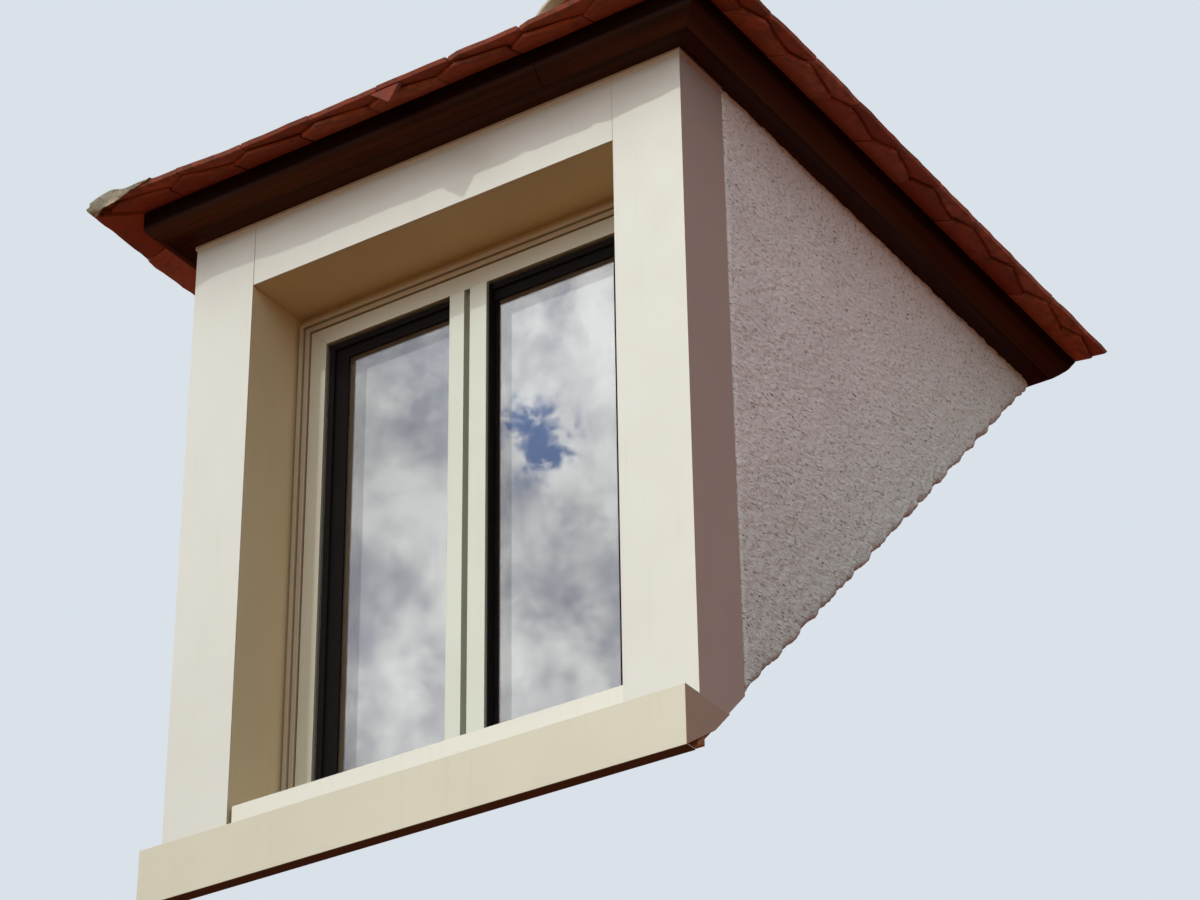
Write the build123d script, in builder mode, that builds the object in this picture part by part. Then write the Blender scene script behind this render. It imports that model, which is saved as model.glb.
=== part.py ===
from build123d import *
import os

os.makedirs("parts", exist_ok=True)

# A dormer window with a hipped tiled roof, seated on a roof pitched at 45 degrees.
# Millimetres. X runs across the dormer, Y into the roof, Z up.
# The seat plane is z = y. The origin lies on the underside of the front sole
# plate, at the middle of its seat.

# ---------------------------------------------------------------- front face
half_width = 575.0          # outer face of pilasters and cheeks
front_y = -18.0             # front face of the pilasters
sill_z = 70.0               # top of the sill apron, foot of the pilasters
lintel_z = 1415.0           # top of the lintel, underside of the wall plates
opening_half = 425.0        # half width of the opening between the reveals
opening_top = 1266.0        # underside of the head reveal
pilaster_depth = 149.0      # side return of a pilaster
sheet = 3.0                 # folded aluminium sheet
reveal_back = 140.0         # where the reveal linings end

# ---------------------------------------------------------------- sill
apron_y = -71.5             # front of the sill apron
apron_bottom = -41.0
apron_half = 580.0
apron_hem = 27.0            # depth of the fold along the lower edge
sill_half = 417.0           # raised window sill between the reveals
sill_nose = 66.0            # height of its front edge above the apron
sill_back_z = 151.0         # its height against the window

# ---------------------------------------------------------------- timber frame
post_in, post_out = 430.0, 539.0
post_y0, post_y1 = 26.0, 146.0
head_z = 1290.0             # underside of the head beam
cheek_in = 475.0            # inner face of the cheek framing
board_in = 539.0            # inner face of the cheek boarding
render_in = 557.0           # inner face of the cheek render
cheek_y = front_y + pilaster_depth
sole_rise = 85.0            # a 60 mm sole plate, measured straight up
stud_rows = [400.0, 760.0, 1120.0]
stud_w = 60.0

# ---------------------------------------------------------------- cornice
plate_over = 44.0           # wall plate beyond the wall face
plate_in = 475.0
plate_h = 75.0
moulding_over = 79.0        # moulding beyond the wall face
moulding_top = 1484.2
# outer curve of the moulding: distance beyond the wall face, height
moulding_curve = [(44.3, 1415.0), (54, 1417.5), (64, 1424), (72, 1432), (77, 1439.5), (moulding_over, 1447)]

# ---------------------------------------------------------------- roof
eave_over = 163.0           # tile edge beyond the wall face
eave_under = 1456.0
eave_top = 1478.0
kink_under = 1512.0         # underside of the covering over the wall face
cover_rise = 42.4           # 30 mm of tiles, measured straight up
board_rise = 25.5           # 18 mm of boarding, measured straight up
rafter_rise = 113.1         # an 80 mm rafter, measured straight up
rafter_w = 60.0
kink_over = 15.0            # top surface changes slope here
valley_rise = 28.3          # a 20 mm valley board, measured straight up

apex_y = front_y + half_width                 # where the two hips meet
apex_under = kink_under + half_width          # 2087
apex_top = apex_under + cover_rise
board_apex = apex_under - board_rise
eave_x = half_width + eave_over
eave_y = front_y - eave_over
plate_top = lintel_z + plate_h
kink_top = apex_top - (half_width + kink_over)
back_y = 2400.0
mitre = apex_y                                # hips lie on |x| + y = mitre

ridge_r = 95.0
ridge_t = 15.0
ridge_z = 2075.0
ridge_front = 505.0

# ---------------------------------------------------------------- window
frame_half = 393.0
frame_y = 132.0
frame_depth = 70.0
frame_bottom, frame_top = 125.0, 1220.0
flange = 38.0               # width of the frame seen from outside
flange_t = 8.0
frame_body = 25.0
sash_out = 366.0
sash_gap = 5.0              # from the middle to each meeting stile
stile_y = 126.0             # front of the cover strips on the meeting stiles
sash_y0, sash_y1 = 146.0, 214.0
glass_y0, glass_y1 = 150.0, 174.0
gasket_w = 16.0             # raised lip
gasket_in = 308.0           # inner edge of the flat border, on the hinge side
gasket_top = 1143.0

seat = Plane(origin=(0, 0, 0), z_dir=(0, -1, 1))
above_valley = Plane(origin=(0, 0, valley_rise), z_dir=(0, -1, 1))
hip_right = Plane(origin=(mitre, 0, 0), z_dir=(1, 1, 0))
hip_left = Plane(origin=(-mitre, 0, 0), z_dir=(-1, 1, 0))

# ================================================================ cladding
with BuildPart() as right_pilaster_cladding:
    with BuildSketch(Plane.XY.offset(sill_z)):
        with Locations(((opening_half + half_width) / 2, front_y + sheet / 2)):
            Rectangle(half_width - opening_half, sheet)
    extrude(amount=lintel_z - sill_z)
    with BuildSketch(Plane.YZ.offset(half_width - sheet)):
        with BuildLine():
            Polyline((front_y, sill_z), (sill_z, sill_z), (cheek_y, cheek_y),
                     (cheek_y, lintel_z), (front_y, lintel_z), close=True)
        make_face()
    extrude(amount=sheet)
right_pilaster_cladding.part.label = "right_pilaster_cladding"
export_step(right_pilaster_cladding.part, "parts/right_pilaster_cladding.step")

with BuildPart() as left_pilaster_cladding:
    mirror(right_pilaster_cladding.part, about=Plane.YZ)
left_pilaster_cladding.part.label = "left_pilaster_cladding"
export_step(left_pilaster_cladding.part, "parts/left_pilaster_cladding.step")

with BuildPart() as lintel_cladding:
    with BuildSketch(Plane.XY.offset(opening_top)):
        with Locations((0, front_y + sheet / 2)):
            Rectangle(2 * opening_half - 0.6, sheet)
    extrude(amount=lintel_z - opening_top)
lintel_cladding.part.label = "lintel_cladding"
export_step(lintel_cladding.part, "parts/lintel_cladding.step")

# thin strip along the top of the cladding, turned back over both side returns
with BuildPart() as cap_strip:
    with BuildSketch(Plane.XY.offset(lintel_z - 9)):
        with Locations((0, front_y - 1.5)):
            Rectangle(2 * half_width + 6, 3)
        for side in (-1, 1):
            with Locations((side * (half_width + 1.5), (front_y + cheek_y) / 2)):
                Rectangle(3, cheek_y - front_y)
    extrude(amount=9)
cap_strip.part.label = "cap_strip"
export_step(cap_strip.part, "parts/cap_strip.step")

with BuildPart() as reveal_linings:
    for side in (-1, 1):
        with BuildSketch(Plane.XY.offset(sill_z)):
            with Locations((side * (opening_half + sheet / 2), (front_y + sheet + reveal_back) / 2)):
                Rectangle(sheet, reveal_back - front_y - sheet)
        extrude(amount=opening_top - sill_z)
    with BuildSketch(Plane.XY.offset(opening_top + 0.2)):
        with Locations((0, (front_y + sheet + reveal_back) / 2)):
            Rectangle(2 * (opening_half + sheet), reveal_back - front_y - sheet)
    extrude(amount=sheet)
reveal_linings.part.label = "reveal_linings"
export_step(reveal_linings.part, "parts/reveal_linings.step")

with BuildPart() as sill_apron:
    with BuildSketch(Plane.XY.offset(apron_bottom)):
        with Locations((0, apron_y + sheet / 2)):
            Rectangle(2 * apron_half, sheet)
    extrude(amount=sill_z - apron_bottom)
    with BuildSketch(Plane.XY.offset(sill_z - sheet)):
        with Locations((0, (apron_y + front_y + sheet) / 2)):
            Rectangle(2 * apron_half, front_y + sheet - apron_y)
    extrude(amount=sheet)
    for x0 in (-apron_half, apron_half - sheet):
        with BuildSketch(Plane.YZ.offset(x0)):
            with BuildLine():
                Polyline((apron_y, apron_bottom), (21, 21), (sill_z, sill_z),
                         (apron_y, sill_z), close=True)
            make_face()
        extrude(amount=sheet)
    # folded lower edge
    with BuildSketch(Plane.XY.offset(apron_bottom)):
        with Locations((0, apron_y + apron_hem / 2)):
            Rectangle(2 * apron_half, apron_hem)
    extrude(amount=sheet)
sill_apron.part.label = "sill_apron"
export_step(sill_apron.part, "parts/sill_apron.step")

with BuildPart() as window_sill:
    with BuildSketch(Plane.YZ.offset(-sill_half)):
        with BuildLine():
            Polyline((front_y + 3, sill_z), (front_y + 6, sill_z),
                     (front_y + 6, sill_z + sill_nose - 3.5), (frame_y, sill_back_z - 3.5),
                     (frame_y, sill_back_z), (front_y + 3, sill_z + sill_nose), close=True)
        make_face()
    extrude(amount=2 * sill_half)
window_sill.part.label = "window_sill"
export_step(window_sill.part, "parts/window_sill.step")

# stepped trim around the window, inside the back edge of the reveals
with BuildPart() as window_trim:
    with BuildSketch(Plane.XZ.offset(-138)):
        with BuildLine():
            Polyline((-424.5, 124), (-395, 124), (-395, 1222), (395, 1222), (395, 124),
                     (424.5, 124), (424.5, 1265.5), (-424.5, 1265.5), close=True)
        make_face()
    extrude(amount=-8)
    with BuildSketch(Plane.XZ.offset(-124)):
        with BuildLine():
            Polyline((-418, 152), (-409, 152), (-409, 1236), (409, 1236), (409, 152),
                     (418, 152), (418, 1245), (-418, 1245), close=True)
        make_face()
    extrude(amount=-14)
    with BuildSketch(Plane.XZ.offset(-129)):
        with BuildLine():
            Polyline((-407, 152), (-396, 152), (-396, 1223), (396, 1223), (396, 152),
                     (407, 152), (407, 1234), (-407, 1234), close=True)
        make_face()
    extrude(amount=-9)
window_trim.part.label = "window_trim"
export_step(window_trim.part, "parts/window_trim.step")

# ================================================================ front timber frame
with BuildPart() as front_posts:
    for x0 in (-post_out, post_in):
        with BuildSketch(Plane.YZ.offset(x0)):
            with BuildLine():
                Polyline((post_y0, post_y0), (post_y1, post_y1), (post_y1, head_z),
                         (post_y0, head_z), close=True)
            make_face()
        extrude(amount=post_out - post_in)
front_posts.part.label = "front_posts"
export_step(front_posts.part, "parts/front_posts.step")

with BuildPart() as head_beam:
    with BuildSketch(Plane.XY.offset(head_z)):
        with Locations((0, (post_y0 + post_y1) / 2)):
            Rectangle(2 * post_out, post_y1 - post_y0)
    extrude(amount=lintel_z - head_z)
head_beam.part.label = "head_beam"
export_step(head_beam.part, "parts/head_beam.step")

with BuildPart() as sill_beam:
    with BuildSketch(Plane.YZ.offset(-opening_half + 0.2)):
        with BuildLine():
            Polyline((26, 45), (101, 45), (101, 141), (26, 133), close=True)
        make_face()
    extrude(amount=2 * opening_half - 0.4)
sill_beam.part.label = "sill_beam"
export_step(sill_beam.part, "parts/sill_beam.step")

with BuildPart() as front_sole_plate:
    with BuildSketch(Plane.YZ.offset(-574)):
        with BuildLine():
            Polyline((-24, -24), (24, 24), (24, 64), (-24, 64), close=True)
        make_face()
    extrude(amount=1148)
front_sole_plate.part.label = "front_sole_plate"
export_step(front_sole_plate.part, "parts/front_sole_plate.step")

with BuildPart() as window_subframe:
    for side in (-1, 1):
        with BuildSketch(Plane.XY.offset(100)):
            with Locations((side * (frame_half + 0.5 + 450) / 2, 174)):
                Rectangle(450 - frame_half - 0.5, 56)
        extrude(amount=head_z - 100)
    with BuildSketch(Plane.XY.offset(frame_top + 0.5)):
        with Locations((0, 174)):
            Rectangle(2 * frame_half, 56)
    extrude(amount=head_z - frame_top - 0.5)
    with BuildSketch(Plane.XY.offset(100)):
        with Locations((0, 174)):
            Rectangle(2 * frame_half, 56)
    extrude(amount=24.5)
window_subframe.part.label = "window_subframe"
export_step(window_subframe.part, "parts/window_subframe.step")

# ================================================================ cheeks
with BuildPart() as side_sole_plates:
    for x0 in (-board_in, cheek_in):
        with BuildSketch(Plane.YZ.offset(x0)):
            with BuildLine():
                Polyline((post_y1, post_y1), (lintel_z, lintel_z), (lintel_z - sole_rise, lintel_z),
                         (post_y1, post_y1 + sole_rise), close=True)
            make_face()
        extrude(amount=board_in - cheek_in)
side_sole_plates.part.label = "side_sole_plates"
export_step(side_sole_plates.part, "parts/side_sole_plates.step")

with BuildPart() as cheek_studs:
    for x0 in (-board_in, cheek_in):
        for y in stud_rows:
            with BuildSketch(Plane.YZ.offset(x0)):
                with BuildLine():
                    Polyline((y, y + sole_rise), (y + stud_w, y + stud_w + sole_rise),
                             (y + stud_w, lintel_z), (y, lintel_z), close=True)
                make_face()
            extrude(amount=board_in - cheek_in)
cheek_studs.part.label = "cheek_studs"
export_step(cheek_studs.part, "parts/cheek_studs.step")

with BuildPart() as cheek_boards:
    for x0 in (-render_in, board_in):
        with BuildSketch(Plane.YZ.offset(x0)):
            with BuildLine():
                Polyline((cheek_y, cheek_y), (lintel_z, lintel_z), (cheek_y, lintel_z), close=True)
            make_face()
        extrude(amount=render_in - board_in)
cheek_boards.part.label = "cheek_boards"
export_step(cheek_boards.part, "parts/cheek_boards.step")

with BuildPart() as right_cheek_render:
    with BuildSketch(Plane.YZ.offset(render_in)):
        with BuildLine():
            Polyline((cheek_y, cheek_y), (lintel_z, lintel_z), (cheek_y, lintel_z), close=True)
        make_face()
    extrude(amount=half_width - render_in)
right_cheek_render.part.label = "right_cheek_render"
export_step(right_cheek_render.part, "parts/right_cheek_render.step")

with BuildPart() as left_cheek_render:
    mirror(right_cheek_render.part, about=Plane.YZ)
left_cheek_render.part.label = "left_cheek_render"
export_step(left_cheek_render.part, "parts/left_cheek_render.step")

# ================================================================ cornice
plate_out = half_width + plate_over
plate_front = front_y - plate_over
plate_back = plate_front + plate_out - plate_in

with BuildPart() as front_wall_plate:
    with BuildSketch(Plane.XY.offset(lintel_z)):
        with BuildLine():
            Polyline((-plate_out, plate_front), (plate_out, plate_front),
                     (plate_in, plate_back), (-plate_in, plate_back), close=True)
        make_face()
    extrude(amount=plate_h)
front_wall_plate.part.label = "front_wall_plate"
export_step(front_wall_plate.part, "parts/front_wall_plate.step")

with BuildPart() as right_wall_plate:
    with BuildSketch(Plane.XY.offset(lintel_z)):
        with BuildLine():
            Polyline((plate_out, plate_front + 0.4), (plate_out, 1600), (plate_in, 1600),
                     (plate_in, plate_back + 0.4), close=True)
        make_face()
    extrude(amount=plate_h)
    split(bisect_by=seat, keep=Keep.TOP)
right_wall_plate.part.label = "right_wall_plate"
export_step(right_wall_plate.part, "parts/right_wall_plate.step")

with BuildPart() as left_wall_plate:
    mirror(right_wall_plate.part, about=Plane.YZ)
left_wall_plate.part.label = "left_wall_plate"
export_step(left_wall_plate.part, "parts/left_wall_plate.step")

# solid moulding under the eave: a front run and two side runs, mitred at the corners
with BuildPart() as cornice_moulding:
    with BuildSketch(Plane.YZ.offset(-half_width - 120)):
        with BuildLine():
            Polyline(*[(front_y - o, z) for o, z in moulding_curve],
                     (front_y - moulding_over, moulding_top), (front_y - 44.3, moulding_top), close=True)
        make_face()
    extrude(amount=2 * half_width + 240)
    split(bisect_by=hip_right.offset(-0.2), keep=Keep.BOTTOM)
    split(bisect_by=hip_left.offset(-0.2), keep=Keep.BOTTOM)
with BuildPart() as right_moulding:
    with BuildSketch(Plane.XZ.offset(-front_y + 120)):
        with BuildLine():
            Polyline(*[(half_width + o, z) for o, z in moulding_curve],
                     (half_width + moulding_over, moulding_top), (half_width + 44.3, moulding_top),
                     close=True)
        make_face()
    extrude(amount=-1700)
    split(bisect_by=hip_right, keep=Keep.TOP)
    split(bisect_by=seat, keep=Keep.TOP)
with BuildPart() as left_moulding:
    mirror(right_moulding.part, about=Plane.YZ)
with BuildPart() as moulding_set:
    add(cornice_moulding.part)
    add(right_moulding.part)
    add(left_moulding.part)
moulding_set.part.label = "cornice_moulding"
export_step(moulding_set.part, "parts/cornice_moulding.step")

# ================================================================ roof frame
with BuildPart() as ridge_board:
    with BuildSketch(Plane.YZ.offset(-15)):
        with BuildLine():
            Polyline((480, 1906), (480, 1984), (apex_y - 15, board_apex - 16), (back_y, board_apex - 16),
                     (back_y, 1906), close=True)
        make_face()
    extrude(amount=30)
    split(bisect_by=above_valley, keep=Keep.TOP)
ridge_board.part.label = "ridge_board"
export_step(ridge_board.part, "parts/ridge_board.step")

hip_drop = 21.5             # a square-edged hip rafter kept below the boarding
hip_depth = 120.0
with BuildPart() as hip_rafters:
    for side in (-1, 1):
        with BuildSketch(Plane(origin=(0, apex_y, 0), x_dir=(side, -1, 0), z_dir=(-1, -side, 0))):
            with BuildLine():
                Polyline((55, board_apex - hip_drop - 55 / 2 ** 0.5),
                         ((board_apex - hip_drop - plate_top) * 2 ** 0.5, plate_top),
                         ((board_apex - hip_drop - hip_depth - plate_top) * 2 ** 0.5, plate_top),
                         (55, board_apex - hip_drop - hip_depth - 55 / 2 ** 0.5), close=True)
            make_face()
        extrude(amount=30, both=True)
hip_rafters.part.label = "hip_rafters"
export_step(hip_rafters.part, "parts/hip_rafters.step")

# side rafters: one short one before the apex, full ones, and one that dies on the valley
with BuildPart() as right_rafters:
    for y in (600, 980, 1360, 1700):
        with BuildSketch(Plane.XZ.offset(-y)):
            with BuildLine():
                Polyline((15.2, board_apex - 15.2), (board_apex - plate_top, plate_top),
                         (board_apex - rafter_rise - plate_top, plate_top),
                         (15.2, board_apex - rafter_rise - 15.2), close=True)
            make_face()
        extrude(amount=-rafter_w)
    split(bisect_by=above_valley, keep=Keep.TOP)
with BuildPart() as right_jack:
    with BuildSketch(Plane.XZ.offset(-230)):
        with BuildLine():
            Polyline((15.2, board_apex - 15.2), (board_apex - plate_top, plate_top),
                     (board_apex - rafter_rise - plate_top, plate_top),
                     (15.2, board_apex - rafter_rise - 15.2), close=True)
        make_face()
    extrude(amount=-rafter_w)
    split(bisect_by=hip_right.offset(30.5), keep=Keep.TOP)
with BuildPart() as right_rafter_set:
    add(right_rafters.part)
    add(right_jack.part)
right_rafter_set.part.label = "right_rafters"
export_step(right_rafter_set.part, "parts/right_rafters.step")

with BuildPart() as left_rafter_set:
    mirror(right_rafter_set.part, about=Plane.YZ)
left_rafter_set.part.label = "left_rafters"
export_step(left_rafter_set.part, "parts/left_rafters.step")

with BuildPart() as front_rafters:
    for x in (-330, -30, 270):
        with BuildSketch(Plane.YZ.offset(x)):
            with BuildLine():
                Polyline((478, board_apex - apex_y + 478), (478, board_apex - rafter_rise - apex_y + 478),
                         (plate_top + apex_y + rafter_rise - board_apex, plate_top),
                         (plate_top + apex_y - board_apex, plate_top), close=True)
            make_face()
        extrude(amount=rafter_w)
    split(bisect_by=hip_right.offset(-30.5), keep=Keep.BOTTOM)
    split(bisect_by=hip_left.offset(-30.5), keep=Keep.BOTTOM)
front_rafters.part.label = "front_rafters"
export_step(front_rafters.part, "parts/front_rafters.step")

with BuildPart() as right_boarding:
    with BuildSketch(Plane.XZ.offset(-eave_y)):
        with BuildLine():
            Polyline((0, apex_under), (0, board_apex), (board_apex - plate_top, plate_top),
                     (apex_under - plate_top, plate_top), close=True)
        make_face()
    extrude(amount=-(back_y - eave_y))
    split(bisect_by=hip_right, keep=Keep.TOP)
    split(bisect_by=above_valley, keep=Keep.TOP)
right_boarding.part.label = "right_boarding"
export_step(right_boarding.part, "parts/right_boarding.step")

with BuildPart() as left_boarding:
    mirror(right_boarding.part, about=Plane.YZ)
left_boarding.part.label = "left_boarding"
export_step(left_boarding.part, "parts/left_boarding.step")

with BuildPart() as front_boarding:
    with BuildSketch(Plane.YZ.offset(-eave_x)):
        with BuildLine():
            Polyline((apex_y, apex_under), (apex_y, board_apex),
                     (plate_top + apex_y - board_apex, plate_top),
                     (plate_top + apex_y - apex_under, plate_top), close=True)
        make_face()
    extrude(amount=2 * eave_x)
    split(bisect_by=hip_right, keep=Keep.BOTTOM)
    split(bisect_by=hip_left, keep=Keep.BOTTOM)
front_boarding.part.label = "front_boarding"
export_step(front_boarding.part, "parts/front_boarding.step")

# valley boards lie flat on the seat plane under the two back edges of the roof
root2 = 2 ** 0.5
valley_low = 2110.0
with BuildPart() as valley_boards:
    for side in (-1, 1):
        with BuildSketch(Plane(origin=(0, 0, 0), x_dir=(1, 0, 0), z_dir=(0, -1, 1))):
            with BuildLine():
                Polyline((side * (apex_under - valley_low / root2), valley_low),
                         (side * 0.2, apex_under * root2 - 0.3), (side * 0.2, 2656),
                         (side * 386.6, valley_low), close=True)
            make_face()
        extrude(amount=20)
    split(bisect_by=Plane(origin=(0, 0, board_apex), z_dir=(1, 0, 1)), keep=Keep.BOTTOM)
    split(bisect_by=Plane(origin=(0, 0, board_apex), z_dir=(-1, 0, 1)), keep=Keep.BOTTOM)
valley_boards.part.label = "valley_boards"
export_step(valley_boards.part, "parts/valley_boards.step")

# ================================================================ roof covering
with BuildPart() as right_slope_tiles:
    with BuildSketch(Plane.XZ.offset(-eave_y)):
        with BuildLine():
            Polyline((eave_x, eave_under), (eave_x, eave_top), (half_width + kink_over, kink_top),
                     (0, apex_top), (0, apex_under), (half_width, kink_under), close=True)
        make_face()
    extrude(amount=-(back_y - eave_y))
    split(bisect_by=hip_right, keep=Keep.TOP)
    split(bisect_by=seat, keep=Keep.TOP)
right_slope_tiles.part.label = "right_slope_tiles"
export_step(right_slope_tiles.part, "parts/right_slope_tiles.step")

with BuildPart() as left_slope_tiles:
    mirror(right_slope_tiles.part, about=Plane.YZ)
left_slope_tiles.part.label = "left_slope_tiles"
export_step(left_slope_tiles.part, "parts/left_slope_tiles.step")

with BuildPart() as front_slope_tiles:
    with BuildSketch(Plane.YZ.offset(-eave_x)):
        with BuildLine():
            Polyline((eave_y, eave_under), (eave_y, eave_top), (front_y - kink_over, kink_top),
                     (apex_y, apex_top), (apex_y, apex_under), (front_y, kink_under), close=True)
        make_face()
    extrude(amount=2 * eave_x)
    split(bisect_by=hip_right, keep=Keep.BOTTOM)
    split(bisect_by=hip_left, keep=Keep.BOTTOM)
front_slope_tiles.part.label = "front_slope_tiles"
export_step(front_slope_tiles.part, "parts/front_slope_tiles.step")

with BuildPart() as ridge_tiles:
    with BuildSketch(Plane.XZ.offset(-ridge_front)):
        with Locations((0, ridge_z)):
            Circle(ridge_r)
            Circle(ridge_r - ridge_t, mode=Mode.SUBTRACT)
            with Locations((0, -ridge_r / 2)):
                Rectangle(2 * ridge_r, ridge_r, mode=Mode.SUBTRACT)
    extrude(amount=-(back_y - ridge_front))
    split(bisect_by=seat, keep=Keep.TOP)
ridge_tiles.part.label = "ridge_tiles"
export_step(ridge_tiles.part, "parts/ridge_tiles.step")

ridge_in = ridge_r - ridge_t
with BuildPart() as ridge_mortar:
    with BuildSketch(Plane.XZ.offset(-apex_y)):
        with BuildLine():
            Polyline((-ridge_in, ridge_z), (-98, ridge_z - 4), (-125, apex_top - 125), (0, apex_top),
                     (125, apex_top - 125), (98, ridge_z - 4), (ridge_in, ridge_z))
            ThreePointArc((ridge_in, ridge_z), (0, ridge_z + ridge_in), (-ridge_in, ridge_z))
        make_face()
    extrude(amount=-(back_y - apex_y))
    split(bisect_by=seat, keep=Keep.TOP)
ridge_mortar.part.label = "ridge_mortar"
export_step(ridge_mortar.part, "parts/ridge_mortar.step")

# mortar bedding over the two hips: a low chevron band in two straight runs
hip_half = 58.0
hip_high = 16.0
low_u = eave_x * root2
kink_u = (half_width + kink_over) * root2
low_fall = (kink_top - eave_top) / (kink_u - low_u)
with BuildPart() as hip_mortar:
    for side in (-1, 1):
        with BuildSketch(Plane(origin=(side * 60, apex_y - 60, apex_top - 60),
                               x_dir=(1, side, 0), z_dir=(side, -1, 0))):
            with BuildLine():
                Polyline((-hip_half, -hip_half / root2 + 0.5), (0, 0.5), (hip_half, -hip_half / root2 + 0.5),
                         (hip_half, -hip_half / root2 + 9), (18, hip_high - 6), (0, hip_high),
                         (-18, hip_high - 6), (-hip_half, -hip_half / root2 + 9), close=True)
            make_face()
        extrude(amount=((kink_u - 60 * root2) ** 2 * 1.5) ** 0.5,
                dir=(side / 3 ** 0.5, -1 / 3 ** 0.5, -1 / 3 ** 0.5))
with BuildPart() as hip_mortar_low:
    for side in (-1, 1):
        with BuildSketch(Plane(origin=(side * (half_width + kink_over), front_y - kink_over, kink_top),
                               x_dir=(1, side, 0), z_dir=(side, -1, 0))):
            with BuildLine():
                Polyline((-hip_half, -hip_half * 0.293 + 0.5), (0, 0.5), (hip_half, -hip_half * 0.293 + 0.5),
                         (hip_half, -hip_half * 0.293 + 9), (18, hip_high - 4), (0, hip_high),
                         (-18, hip_high - 4), (-hip_half, -hip_half * 0.293 + 9), close=True)
            make_face()
        extrude(amount=((low_u - kink_u) ** 2 * (1 + low_fall ** 2)) ** 0.5,
                dir=(side / root2, -1 / root2, low_fall))
with BuildPart() as hip_mortar_all:
    add(hip_mortar.part)
    add(hip_mortar_low.part)
    with BuildSketch(Plane.XY.offset(1300)):
        Rectangle(2 * eave_x, 2 * -eave_y)
        with Locations((0, 600)):
            Rectangle(2 * eave_x, 1200)
    extrude(amount=1000, mode=Mode.INTERSECT)
    add(front_slope_tiles.part, mode=Mode.SUBTRACT)
    add(right_slope_tiles.part, mode=Mode.SUBTRACT)
    add(left_slope_tiles.part, mode=Mode.SUBTRACT)
    add(ridge_tiles.part, mode=Mode.SUBTRACT)
    add(ridge_mortar.part, mode=Mode.SUBTRACT)
hip_mortar_all.part.label = "hip_mortar"
export_step(hip_mortar_all.part, "parts/hip_mortar.step")

# ================================================================ window
frame_zc = (frame_bottom + frame_top) / 2
frame_h = frame_top - frame_bottom
with BuildPart() as window_frame:
    with BuildSketch(Plane.XZ.offset(-frame_y)):
        with Locations((0, frame_zc)):
            Rectangle(2 * frame_half, frame_h)
            Rectangle(2 * (frame_half - flange), frame_h - 2 * flange, mode=Mode.SUBTRACT)
    extrude(amount=-flange_t)
    with BuildSketch(Plane.XZ.offset(-(frame_y + flange_t))):
        with Locations((0, frame_zc)):
            Rectangle(2 * frame_half, frame_h)
            Rectangle(2 * (frame_half - frame_body), frame_h - 2 * frame_body, mode=Mode.SUBTRACT)
    extrude(amount=-(frame_depth - flange_t))
    for sx, sz in ((-1, -1), (-1, 1), (1, -1), (1, 1)):
        with Locations(Location((sx * (frame_half - flange / 2), frame_y + frame_depth / 2,
                                 frame_zc + sz * (frame_h / 2 - flange / 2)), (0, 45 * sx * sz, 0))):
            Box(0.3, frame_depth + 10, 80, mode=Mode.SUBTRACT)
window_frame.part.label = "window_frame"
export_step(window_frame.part, "parts/window_frame.step")

sash_z0, sash_z1 = frame_bottom + frame_body + 2, frame_top - frame_body - 2
sash_h = sash_z1 - sash_z0
sash_zc = (sash_z0 + sash_z1) / 2
with BuildPart() as leaf:
    with BuildSketch(Plane.XZ.offset(-sash_y0)):
        with Locations(((sash_gap + sash_out) / 2, sash_zc)):
            Rectangle(sash_out - sash_gap, sash_h)
        with Locations(((30 + 354) / 2, sash_zc)):
            Rectangle(324, sash_h - 24, mode=Mode.SUBTRACT)
    extrude(amount=-(sash_y1 - sash_y0))
    with BuildSketch(Plane.XZ.offset(-(glass_y1 + 2))):
        with Locations(((sash_gap + sash_out) / 2, sash_zc)):
            Rectangle(sash_out - sash_gap, sash_h)
        with Locations(((55 + 325) / 2, sash_zc)):
            Rectangle(270, sash_h - 82, mode=Mode.SUBTRACT)
    extrude(amount=-(sash_y1 - glass_y1 - 2))
    for sx, sz, x in ((1, -1, 345), (1, 1, 345), (-1, -1, 30), (-1, 1, 30)):
        with Locations(Location((x, 180, sash_zc + sz * (sash_h / 2 - (21 if x == 345 else 25))),
                                (0, 45 * sx * sz, 0))):
            Box(0.3, 80, 100, mode=Mode.SUBTRACT)

# each leaf carries a cover strip on its meeting stile, and both stand left of the middle
strip_h = frame_h - 2 * flange - 6
with BuildPart() as right_sash:
    add(leaf.part)
    with BuildSketch(Plane.XZ.offset(-stile_y)):
        with Locations((18.5, frame_zc)):
            Rectangle(39, strip_h)
    extrude(amount=-(glass_y0 - 0.3 - stile_y))
right_sash.part.label = "right_sash"
export_step(right_sash.part, "parts/right_sash.step")

# the left leaf also carries the strip that closes the groove between the stiles
with BuildPart() as left_sash:
    mirror(leaf.part, about=Plane.YZ)
    with BuildSketch(Plane.XZ.offset(-stile_y)):
        with Locations((-31.75, frame_zc)):
            Rectangle(34.5, strip_h)
    extrude(amount=-14.8)
    with BuildSketch(Plane.XZ.offset(-stile_y)):
        with Locations((-26.25, frame_zc)):
            Rectangle(23.5, strip_h)
    extrude(amount=-(glass_y0 - 0.3 - stile_y))
    with BuildSketch(Plane.XY.offset(frame_zc - strip_h / 2)):
        with Locations((-0.2, glass_y0 + 12)):
            Rectangle(2 * sash_gap - 0.2, 24)
    extrude(amount=strip_h)
left_sash.part.label = "left_sash"
export_step(left_sash.part, "parts/left_sash.step")

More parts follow.
